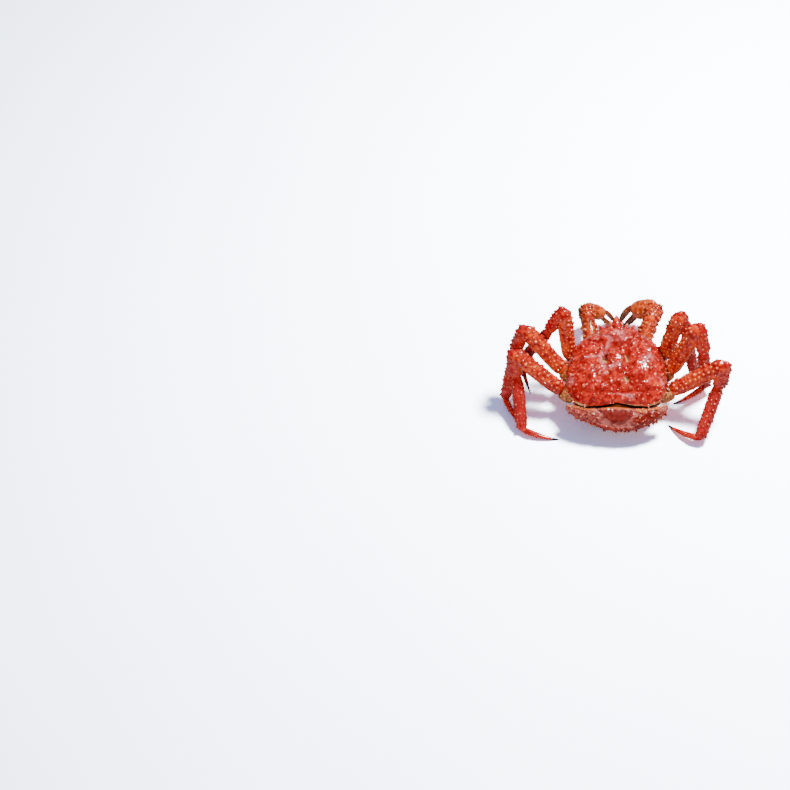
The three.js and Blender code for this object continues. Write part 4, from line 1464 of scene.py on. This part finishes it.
for side_name, side in SIDES:
    limb = f"{side_name}_claw"
    girths = CLAW_GIRTH[side_name]
    root, joint, base = (on_side(place, side) for place in PAIRS["claw"])
    shoulder, elbow, heel, knuckle, tips = joints_of(base, LENGTHS[limb], POSE[limb])
    spread_way = heading(*CLAW_SPREAD[side_name])

    def part(kind, start, end, wide=UPWARD, girth=None):
        name = f"{limb}_{kind}_shell"
        return laid(claw_models[kind], CLAW_SIZE[kind], name, start, end, wide, girth or girths[kind])

    def finger(way):
        """The finger that closes from one side: 1 is the moving one, -1 the fixed one."""
        girth = girths["finger"]
        out = spread_way * way
        start = knuckle + out * girths["palm"][0] * KNUCKLE_SHARE
        end = tips + out * girth[0] * TIP_SHARE
        return laid(finger_model, finger_size, f"{limb}_finger_horn", start, end, out, girth)

    inner, outer = BASE_GIRTHS
    claw_base = join(part("base", root, joint, girth=inner), part("base", joint, shoulder, girth=outer))
    settle(claw_base, belly_cream, f"{limb}_base")
    settle(part("merus", shoulder, elbow), claw_amber, f"{limb}_merus")
    settle(part("carpus", elbow, heel), claw_amber, f"{limb}_carpus")
    hand = join(part("palm", heel, knuckle, spread_way), finger(-1))
    cut_at_floor(hand)
    settle(hand, claw_amber, f"{limb}_palm")
    moving = finger(1)
    cut_at_floor(moving)
    settle(moving, finger_horn, f"{limb}_finger")
    print(limb, "hand:", len(hand.data.polygons), "faces")

# %% [markdown]
# ## The abdomen's broad plate
# Behind the carapace the abdomen turns down and under. What shows is one broad plate, lofted from
# end to end across the rear. It isn't one shell but several, with soft grey-pink skin between
# them: a smooth deep red plate in the middle, darker plates at its sides, a granular orange band
# along the top and a spiny rim below. They are worked into one fine mesh, by a place across it
# and a place down it, so that the plates stand proud and the skin lies in folds.

# %% Shape the abdomen's plate
ABDOMEN_HALF_SPAN = 91
ABDOMEN_UPPER = [(-61, 60), (-50, 60)]
ABDOMEN_LOWER = [(-90, 29), (-61, 50)]
ABDOMEN_THICKNESS = 24
LOWEST_SHARE = 0.12
NOTCH_DEPTH = 4.5
RIM_SPINES = 25
BAND_TRIES = 260
BARE_HALF_WIDTH = 34
ABOVE_PLATE = 40
GAP_SHADE = 6

plate = added(
    bpy.ops.mesh.primitive_uv_sphere_add,
    "abdomen_plate",
    segments=128,
    ring_count=190,
    rotation=(0, math.pi / 2, 0),
)
ball = points_of(plate)
across = np.clip(ball[:, 0], -1, 1)
girth = np.sqrt(np.clip(1 - across**2, 0, 1))
angle = np.arctan2(ball[:, 1], ball[:, 2])


def edge_at(edge, share):
    """The edge at each share of the half span. Its middle lies a little to the right, and the
    upper edge follows the notch in the carapace's rear."""
    (middle_y, middle_z), (tip_y, tip_z) = edge
    notch = NOTCH_DEPTH * np.exp(-((share / 0.27) ** 2)) if edge is ABDOMEN_UPPER else 0
    share = share - LOWEST_SHARE * (1 - share**2)
    bent = np.abs(share) ** 1.9
    return np.column_stack(
        [middle_y + (tip_y - middle_y) * bent + notch, middle_z + (tip_z - middle_z) * bent]
    )


def ellipse(x, down, middle_x, middle_down, half_x, half_down, soft):
    """1 inside an ellipse of the plate, 0 outside, with a soft edge."""
    gap = np.hypot((x - middle_x) / half_x, (down - middle_down) / half_down)
    return 1 - smoothstep(gap, 1 - soft, 1 + soft)


def plate_parts(x, share_down):
    """Masks of the middle plate, the side plates, the top band and the rim."""
    wavy = x + 2.2 * np.sin(share_down * 17) + 1.3 * np.sin(share_down * 41 + x / 7)
    uneven = share_down + 0.03 * np.sin(x / 4.3) + 0.02 * np.sin(x / 2.1 + 1)
    middle = ellipse(wavy, uneven, 1, 0.22, 31 - 16 * uneven, 0.42, 0.1)
    sides = ellipse(np.abs(wavy), uneven, 56, 0.56, 26, 0.3, 0.16)
    band = smoothstep(-uneven, -0.24, -0.16) * smoothstep(np.abs(wavy), 33, 38)
    rim = smoothstep(uneven, 0.78, 0.86)
    return middle, sides, band, rim


upper = edge_at(ABDOMEN_UPPER, across)
lower = edge_at(ABDOMEN_LOWER, across)
down = lower - upper
length = np.linalg.norm(down, axis=1)[:, None]
down = down / length
outward = np.column_stack([down[:, 1], -down[:, 0]])
along = -np.cos(angle) * length[:, 0] / 2 * girth**0.25
out = -np.sin(angle) * ABDOMEN_THICKNESS / 2 * np.sqrt(girth)
x = across * ABDOMEN_HALF_SPAN
share_down = 0.5 + along / length[:, 0]
rear_face = smoothstep(-np.sin(angle), 0.02, 0.3)
middle_plate, side_plates, top_band, rim = plate_parts(x, share_down)
plates = np.clip(middle_plate + side_plates + top_band + rim, 0, 1)
skin = (1 - plates) * rear_face
folds = np.sin(share_down * 46 + 0.07 * np.abs(x)) * 0.28
creases = 0.22 * np.sin(x * 0.31 + 9 * share_down) * smoothstep(share_down, 0.15, 0.3)
out = out + rear_face * (1.5 * plates + skin * (folds - 0.9) + (0.9 + creases) * middle_plate)
centre = (upper + lower) / 2
section = centre + down * along[:, None] + outward * out[:, None]
shaped(plate, np.column_stack([x, section]))
roughen(plate, granules, 1.0)
roughen(plate, dimpling, 1.6)
print("abdomen plate:", len(plate.data.polygons), "faces")

# %% [markdown]
# ## The abdomen's spines
# The lower rim bears close, flat spines with pale points, and the orange band and the side plates
# bear small tubercles. Again a ray shot from outside finds the place for each.

# %% Set out the abdomen's spines
rim_spots = []
for share in np.linspace(-0.93, 0.93, RIM_SPINES) + RANDOM.uniform(-0.03, 0.03, RIM_SPINES):
    middle_y, middle_z = edge_at(ABDOMEN_LOWER, np.array([share]))[0]
    grown = RANDOM.uniform(0.4, 1.25)
    seat = (share * ABDOMEN_HALF_SPAN, middle_y + 1.5, middle_z + 2)
    out = heading(-90 + 45 * share + RANDOM.uniform(-16, 16), -24 + RANDOM.uniform(-12, 12))
    rim_spots.append(standing(seat, out, 4.8 * grown, 7 * grown))
band_spots = []
bpy.context.view_layer.update()
for _ in range(BAND_TRIES):
    share = RANDOM.uniform(-0.95, 0.95)
    down_share = RANDOM.choice([RANDOM.uniform(0.02, 0.2), RANDOM.uniform(0.3, 0.95)])
    if down_share < 0.75 and abs(share) * ABDOMEN_HALF_SPAN < BARE_HALF_WIDTH:
        continue
    high = edge_at(ABDOMEN_UPPER, np.array([share]))[0]
    low = edge_at(ABDOMEN_LOWER, np.array([share]))[0]
    point = high + (low - high) * down_share
    run = (low - high) / np.linalg.norm(low - high)
    out = Vector((0, run[1], -run[0]))
    start = Vector((share * ABDOMEN_HALF_SPAN, *point)) + out * ABOVE_PLATE
    hit, place, normal, _ = plate.ray_cast(start, -out)
    if hit:
        size = RANDOM.uniform(0.9, 2.4)
        band_spots.append(standing(place - normal * 0.15, normal, size, size * 0.9))
print("rim spines:", len(rim_spots), "tubercles:", len(band_spots))

# %% [markdown]
# ## Marks on the plate
# The marks tell the material which part is plate, which is band and which is skin. The parts are
# told from each corner's place, in the same measures that shaped them. The side plate on the left
# is paler than the one on the right. The middle plate's top edge is painted orange as a highlight,
# and the strip under the carapace's rear rim is painted near black as shade.

# %% Mark and settle the plate
def plate_measures(places):
    """Where corners lie on the plate: across it, the share down it and how far they stand out."""
    share = np.clip(places[:, 0] / ABDOMEN_HALF_SPAN, -1, 1)
    high, low = edge_at(ABDOMEN_UPPER, share), edge_at(ABDOMEN_LOWER, share)
    run = low - high
    length = np.linalg.norm(run, axis=1)
    run = run / length[:, None]
    offset = places[:, 1:] - high
    return (offset * run).sum(1) / length, offset[:, 0] * run[:, 1] - offset[:, 1] * run[:, 0]


abdomen = join(
    plate,
    planted("rim_spines", spine_model, rim_spots),
    planted("band_tubercles", tubercle_model, band_spots),
)
abdomen.name = "abdomen_plates"
places = points_of(abdomen)
share_down, proud = plate_measures(places)
middle_plate, side_plates, top_band, rim = plate_parts(places[:, 0], share_down)
on_rear = smoothstep(proud, -2, 5)
# The middle plate's top edge is painted orange as a highlight, where its roll catches the light.
painted_top_highlight = 0.9 * smoothstep(-share_down, -0.12, -0.07)
on_left = places[:, 0] < 0
deep_share = middle_plate * (1 - painted_top_highlight) + side_plates * np.where(on_left, 0.35, 0.7)
mark(abdomen, "deep_tone_and_crease_shade", np.clip(deep_share, 0, 1) * on_rear * 0.8)
orange = np.maximum(top_band, middle_plate * painted_top_highlight) + 0.5 * (1 - on_rear)
mark(abdomen, "belly", np.clip(orange, 0, 1))
skin_share = np.clip(1 - middle_plate - side_plates - top_band - rim, 0, 1) * on_rear
paled = 0.5 * side_plates * on_rear * on_left + 0.3 * middle_plate * smoothstep(share_down, 0.1, 0.3)
mark(abdomen, "tint_and_painted_light", skin_share * 0.9 + paled)
# The strip of the plate under the carapace's rear rim is painted near black, as the shade in the gap.
rear_rim = OUTLINE[(OUTLINE[:, 1] < 0) & (OUTLINE[:, 0] < 0.9 * HALF_WIDTH)][::-1]
rim_y = np.interp(np.abs(places[:, 0]), rear_rim[:, 0], rear_rim[:, 1])
from_rim = np.hypot(places[:, 1] - rim_y, places[:, 2] - MARGIN_HEIGHT)
mark(abdomen, "horn_and_painted_shade", 1 - smoothstep(from_rim, GAP_SHADE - 1.5, GAP_SHADE + 1))
abdomen_plates = shell_material(
    "abdomen_plates",
    coat=0.35,
    Red=(142, 34, 26),
    Deep=(90, 16, 13),
    Bloom=(170, 74, 64),
    Orange=(180, 80, 36),
    Pale=(220, 140, 100),
    Frost=(166, 92, 84),
)
settle(abdomen, abdomen_plates, "abdomen_base")
print("abdomen:", len(abdomen.data.polygons), "faces")

# %% [markdown]
# ## The underside
# Under the body lie the breastplate, between the legs' roots, and the rest of the abdomen, folded
# forward as a broad flap that ends in a small plate. They are pale, thin shell. All three are
# spheres flattened into shape by their rings, as the carapace is, with grooves between the plates.
# Small tubercles stand on the breastplate's front and on the flap's rear.

# %% Shape the breastplate, the flap and its last plate
THORAX_OUTLINE = smooth_path(
    [(0, 97), (16, 95), (34, 82), (52, 58), (62, 28), (63, -4), (58, -34), (42, -50), (0, -52)]
)
THORAX_MIDDLE = 38
BREAST_COUNT = 90
FLAP_COUNT = 70
FLAP = {"rear": -76, "front": 42, "half_width": 60, "thickness": 10, "height": 14, "rear_height": 21}
TELSON = {"middle": 48, "half_length": 12, "half_width": 15, "half_thickness": 3.6}

thorax, share, angle, _ = ringed_ball("thorax_shell", 96, 72)
rim_x, rim_y = along_outline(THORAX_OUTLINE, share)
across = np.abs(np.cos(angle)) ** 0.7 * np.sign(np.cos(angle))
lift = np.abs(np.sin(angle)) ** 0.6 * np.sign(np.sin(angle))
seams = 1.6 * np.exp(-((np.mod(rim_y + 60, 31) - 15.5) / 2.2) ** 2) * (np.abs(across) > 0.25)
depth = THORAX_MIDDLE - BODY_FLOOR
shaped(thorax, np.column_stack([rim_x * across, rim_y, THORAX_MIDDLE + lift * (depth - seams)]))
roughen(thorax, dimpling, 0.8)
roughen(thorax, granules, -1.2)
starts = zip(RANDOM.uniform(-46, 46, BREAST_COUNT), RANDOM.uniform(24, 46, BREAST_COUNT))
from_front = [(x, FAR_OFF, z) for x, z in starts]
thorax = join(thorax, strewn(thorax, from_front, (0, -1, 0), 0.8, 1.9))
mark(thorax, "belly", 0.5)
settle(thorax, belly_cream, "thorax")

flap, share, angle, girth = ringed_ball("abdomen_flap_shell", 96, 90)
y = FLAP["rear"] + (FLAP["front"] - FLAP["rear"]) * (1 + np.cos(share * math.pi)) / 2
taper = np.where(y > 0, 1 - 0.35 * (y / FLAP["front"]) ** 2, 1)
x = FLAP["half_width"] * np.sqrt(girth) * taper * np.cos(angle)
lift = (FLAP["rear_height"] - FLAP["height"]) * smoothstep(-y, 60, -FLAP["rear"])
half = FLAP["thickness"] / 2 * np.sqrt(girth)
cross_seams = np.exp(-(((np.mod(y + 80, 19) - 9.5) / 1.4) ** 2))
long_seams = np.exp(-(((np.abs(x) - 24) / 1.6) ** 2))
worked = half - 0.9 * np.minimum(cross_seams + long_seams, 1) * (half > 3)
shaped(flap, np.column_stack([x, y, FLAP["height"] + lift + worked * np.sin(angle)]))
roughen(flap, dimpling, 0.7)
roughen(flap, granules, -0.9)
starts = zip(RANDOM.uniform(-54, 54, FLAP_COUNT), RANDOM.uniform(15, 27, FLAP_COUNT))
from_behind = [(x, -FAR_OFF, z) for x, z in starts]
flap = join(flap, strewn(flap, from_behind, (0, 1, 0), 0.8, 1.8))
mark(flap, "belly", 0.8)
mark(flap, "pale", 0.3)
settle(flap, belly_cream, "abdomen_flap")

telson, share, angle, girth = ringed_ball("telson_shell", 48, 32)
y = TELSON["middle"] + TELSON["half_length"] * np.cos(share * math.pi)
z = FLAP["height"] + TELSON["half_thickness"] * np.sqrt(girth) * np.sin(angle)
shaped(telson, np.column_stack([TELSON["half_width"] * girth * np.cos(angle), y, z]))
roughen(telson, dimpling, 0.5)
settle(telson, belly_cream, "telson")
print("underside:", sum(len(piece.data.polygons) for piece in (thorax, flap, telson)), "faces")

# %% [markdown]
# ## The eyes
# Two small black eyes sit on short stalks under the beak. The stalk is a turned tube with a
# collar. The eye is a ball, drawn out a little, with a smooth, clear face, so it gets its own
# dark material with a faint net of facets. The eye and its stalk make one piece, and a mark on
# the stalk's corners gives it the red of the shell.

# %% Make the eye's material and the eyes
eye_jet, eye_tree, eye_shader = new_material("eye_jet")
eye_place = own_place(eye_tree)
facets = pebbles(eye_tree, eye_place, 2600)
depths = spread(eye_tree, noise(eye_tree, eye_place, 300), 0.4, 0.7)
dark_of_eye = mixed(eye_tree, depths, colour(10, 8, 9), colour(40, 20, 16))
eye_tone = mixed(eye_tree, marked(eye_tree, "belly"), dark_of_eye, colour(190, 70, 44))
eye_tree.links.new(eye_tone, eye_shader.inputs["Base Color"])
raise_grain(eye_tree, eye_shader, facets, 0.15, 0.0001)
eye_tree.links.new(spread(eye_tree, facets, 0, 0.6, 0.08, 0.2), eye_shader.inputs["Roughness"])
eye_shader.inputs["Coat Weight"].default_value = 0.8
eye_shader.inputs["Coat Roughness"].default_value = 0.04

EYE_ROOT = (9, 97, 69)
EYE_PLACE = (15, 109, 69)
EYE_RADIUS = 3.6
STALK_GIRTH = (5.6, 5)
STALK_RINGS = [(0, 0.7), (0.3, 0.9), (0.6, 0.8), (0.8, 1.05), (0.95, 0.95), (1.05, 0.6)]
for side_name, side in SIDES:
    root, centre = on_side(EYE_ROOT, side), on_side(EYE_PLACE, side)
    stalk_size = (STALK_GIRTH[0], (centre - root).length, STALK_GIRTH[1])
    stalk_model = turned("stalk", stalk_size, STALK_RINGS)
    subdivide(stalk_model, 1)
    stalk = laid(stalk_model, stalk_size, f"{side_name}_eye_stalk", root, centre, UPWARD, STALK_GIRTH)
    bpy.data.objects.remove(stalk_model)
    mark(stalk, "belly", 1)
    bpy.ops.object.select_all(action="DESELECT")
    bpy.ops.mesh.primitive_uv_sphere_add(
        segments=40, ring_count=24, radius=EYE_RADIUS, location=centre
    )
    ball = bpy.context.object
    bpy.ops.object.mode_set(mode="EDIT")
    bpy.ops.transform.resize(value=(0.92, 1.04, 1.0))
    bpy.ops.object.mode_set(mode="OBJECT")
    bpy.ops.object.transform_apply(location=True)
    eye = join(ball, stalk)
    eye.name = f"{side_name}_eye_ball"
    settle(eye, eye_jet, f"{side_name}_eye")
print("eyes: radius", EYE_RADIUS, "mm")

# %% [markdown]
# ## Feelers
# The long antennae and the short antennules are jointed whips. A curve through a few points gets
# a round section that thins towards its end, and is then turned into a mesh, with rings of
# joints cut into it by a fine ripple of its thickness.

# %% Make the feelers
ANTENNA = {
    "root": (25, 92, 67),
    "lengths": [16, 20, 20, 16],
    "bends": [(90, -12), (98, -20), (98, -25), (110, -10)],
    "radii": (1.7, 0.5),
}
ANTENNULE = {
    "root": (4.5, 100, 66),
    "lengths": [9, 8, 8],
    "bends": [(90, 0), (78, 10), (70, -30)],
    "radii": (1.6, 0.45),
}
WHIP_STEPS = 90


def whip(name, rows, side):
    """A tapering, ringed tube along a feeler's bends."""
    points = [on_side(rows["root"], side)]
    for length, (azimuth, rise) in zip(rows["lengths"], rows["bends"]):
        points.append(points[-1] + mirrored(azimuth, rise, side) * length)
    path = smooth_path([tuple(point) for point in points], WHIP_STEPS)
    line = bpy.data.curves.new(name, "CURVE")
    line.dimensions = "3D"
    line.bevel_depth = 1
    line.bevel_resolution = 3
    line.use_fill_caps = True
    spline = line.splines.new("POLY")
    spline.points.add(WHIP_STEPS - 1)
    thick, thin = rows["radii"]
    for i, (point, place) in enumerate(zip(spline.points, path)):
        share = i / (WHIP_STEPS - 1)
        point.co = (*place, 1)
        point.radius = (thin + (thick - thin) * (1 - share) ** 2.2) * (1 + 0.09 * (i % 3 == 0))
    piece = linked(name, line)
    select_only(piece)
    bpy.ops.object.convert(target="MESH")
    merge(piece, threshold=0.001)
    return piece


# Each stout joint at a feeler's root: its end along the first bend and its width and thickness
STOUT_JOINTS = {"antenna": [(10, 9, 8), (17, 6.5, 6)], "antennule": [(5, 5, 4.5)]}
ischium_model = segment_models["ischium"]
ischium_size = SEGMENT_SIZE["ischium"]


def stout_joints(name, kind, rows, side):
    """Small copies of a leg's second segment, laid along the feeler's first stretch."""
    root = on_side(rows["root"], side)
    way = mirrored(*rows["bends"][0], side)
    start = root
    laid_joints = []
    for reach, *girth in STOUT_JOINTS[kind]:
        end = root + way * reach
        laid_joints.append(laid(ischium_model, ischium_size, name, start, end, UPWARD, girth))
        start = end
    return laid_joints


for side_name, side in SIDES:
    for kind, rows in (("antenna", ANTENNA), ("antennule", ANTENNULE)):
        feeler = whip(f"{side_name}_{kind}_whip", rows, side)
        mark(feeler, "deep_tone_and_crease_shade", 0.8)
        feeler = join(feeler, *stout_joints(f"{side_name}_{kind}_root", kind, rows, side))
        settle(feeler, leg_red, f"{side_name}_{kind}")
print("feelers:", WHIP_STEPS, "steps each")

# %% [markdown]
# ## The mouthparts
# Over the mouth hang two small folded limbs, fringed with bristles. Each is two short copies of
# the segments that exist already: an ischium for the upper joint and a finger for the lower one,
# whose tufts serve as the fringe.

# %% Lay the mouthparts
MOUTHPART = [(12, 94, 32), (12, 104, 56), (7, 109, 36)]
MOUTH_GIRTHS = [(15, 12), (11, 9)]
FORWARD = Vector((0, 1, 0))
for side_name, side in SIDES:
    root, elbow, tip = (on_side(place, side) for place in MOUTHPART)
    limb = f"{side_name}_maxilliped"
    upper, lower = MOUTH_GIRTHS
    mouthpart = laid(ischium_model, ischium_size, f"{limb}_shell", root, elbow, FORWARD, upper)
    lower_joint = laid(finger_model, finger_size, f"{limb}_lower", elbow, tip, FORWARD, lower)
    mark(lower_joint, "horn_and_painted_shade", 0)
    settle(join(mouthpart, lower_joint), belly_cream, limb)
print("mouthparts:", len(mouthpart.data.polygons), "faces each")

# %% [markdown]
# ## Clearing the models away
# The models were only patterns for the copies, so they go. What is left in the scene must be a
# finished piece, so they go.

# %% Remove the models
for model in (spine_model, tubercle_model, *segment_models.values(), *claw_models.values()):
    bpy.data.objects.remove(model)

# %% [markdown]
# ## The floor
# The crab lies on a plain white floor. In a studio such a floor gets lamps of its own, so that it
# comes out white while the crab keeps its colour. Here the floor looks six or seven times as
# bright to the camera as it is to the crab. It is seen a little bluer too, since the red shell
# throws a pink light into its own shadows. In the wet shell's reflections the floor is darker,
# where a bright one would lay a grey veil over the legs. A light path tells the three apart.

# %% Lay the floor
FLOOR_SIZE = 14
FLOOR_GLOW = (6.2, 6.8, 7.2)
FLOOR_IN_GLOSS = colour(150, 152, 160)
floor_white, floor_tree, floor_shader = new_material("floor_white")
mottling = noise(floor_tree, own_place(floor_tree), 3)
floor_tone = mixed(floor_tree, mottling, colour(228, 230, 238), colour(222, 225, 236))
path = add_node(floor_tree, "ShaderNodeLightPath")
felt_tone = mixed(floor_tree, path.outputs["Is Glossy Ray"], floor_tone, FLOOR_IN_GLOSS)
floor_tree.links.new(felt_tone, floor_shader.inputs["Base Color"])
floor_shader.inputs["Roughness"].default_value = 0.8
floor_shader.inputs["Specular IOR Level"].default_value = 0.1
seen_tone = add_node(floor_tree, "ShaderNodeVectorMath", operation="MULTIPLY")
floor_tree.links.new(floor_tone, seen_tone.inputs[0])
seen_tone.inputs[1].default_value = FLOOR_GLOW
seen_floor = add_node(floor_tree, "ShaderNodeBsdfDiffuse")
floor_tree.links.new(seen_tone.outputs[0], seen_floor.inputs["Color"])
seen_or_felt = add_node(floor_tree, "ShaderNodeMixShader")
floor_tree.links.new(path.outputs["Is Camera Ray"], seen_or_felt.inputs[0])
floor_tree.links.new(floor_shader.outputs[0], seen_or_felt.inputs[1])
floor_tree.links.new(seen_floor.outputs[0], seen_or_felt.inputs[2])
floor_tree.links.new(seen_or_felt.outputs[0], floor_tree.nodes["Material Output"].inputs["Surface"])

floor = added(bpy.ops.mesh.primitive_plane_add, "floor", size=FLOOR_SIZE)
floor.data.materials.append(floor_white)
print("floor:", FLOOR_SIZE, "m across")

# %% [markdown]
# ## Light
# One lamp on the far right throws the soft shadows to the near left and draws small wet glints on
# the shell. A broad one hangs over the camera and lights the sides turned to it. It would also
# light the shadows on the floor, which are dark here, so light linking keeps it off the floor. A
# dim bluish sky keeps the shadows cool, and it is dimmer still in the shell's reflections, so that
# the red stays deep.

# %% Hang the lamps
SKY_COLOUR = (0.44, 0.6, 1.0, 1)
SKY_STRENGTH = 0.18
SEEN_IN_SHELL = 0.25
LAMP_AIM = Vector((0, 0, 0.06))
sky = bpy.data.worlds.new("studio")
sky.use_nodes = True
sky_tree = sky.node_tree
in_gloss = add_node(sky_tree, "ShaderNodeLightPath").outputs["Is Glossy Ray"]
dimming = SKY_STRENGTH * (SEEN_IN_SHELL - 1)
background = sky_tree.nodes["Background"].inputs
background["Color"].default_value = SKY_COLOUR
brightness = counted(sky_tree, "MULTIPLY_ADD", in_gloss, dimming, SKY_STRENGTH)
sky_tree.links.new(brightness, background["Strength"])
bpy.context.scene.world = sky


def lamp(name, place, size, power, tint, glints=True):
    """A square soft lamp that faces the crab, seen in its wet shell or not."""
    bpy.ops.object.light_add(type="AREA", location=place)
    light = bpy.context.object
    light.name = name
    light.data.size = size
    light.data.energy = power
    light.data.color = tint
    light.visible_glossy = glints
    toward = LAMP_AIM - Vector(place)
    light.rotation_euler = toward.to_track_quat("-Z", "Y").to_euler()
    return light


lamp("key", (0.72, 0.62, 1.95), 0.4, 114, (1.0, 0.97, 0.92))
front = lamp("front", (-0.6, -1.75, 1.8), 0.9, 74, (1.0, 0.97, 0.94), glints=False)
unlit = bpy.data.collections.new("not_lit_from_the_front")
unlit.objects.link(floor)
unlit.collection_objects[0].light_linking.link_state = "EXCLUDE"
front.light_linking.receiver_collection = unlit
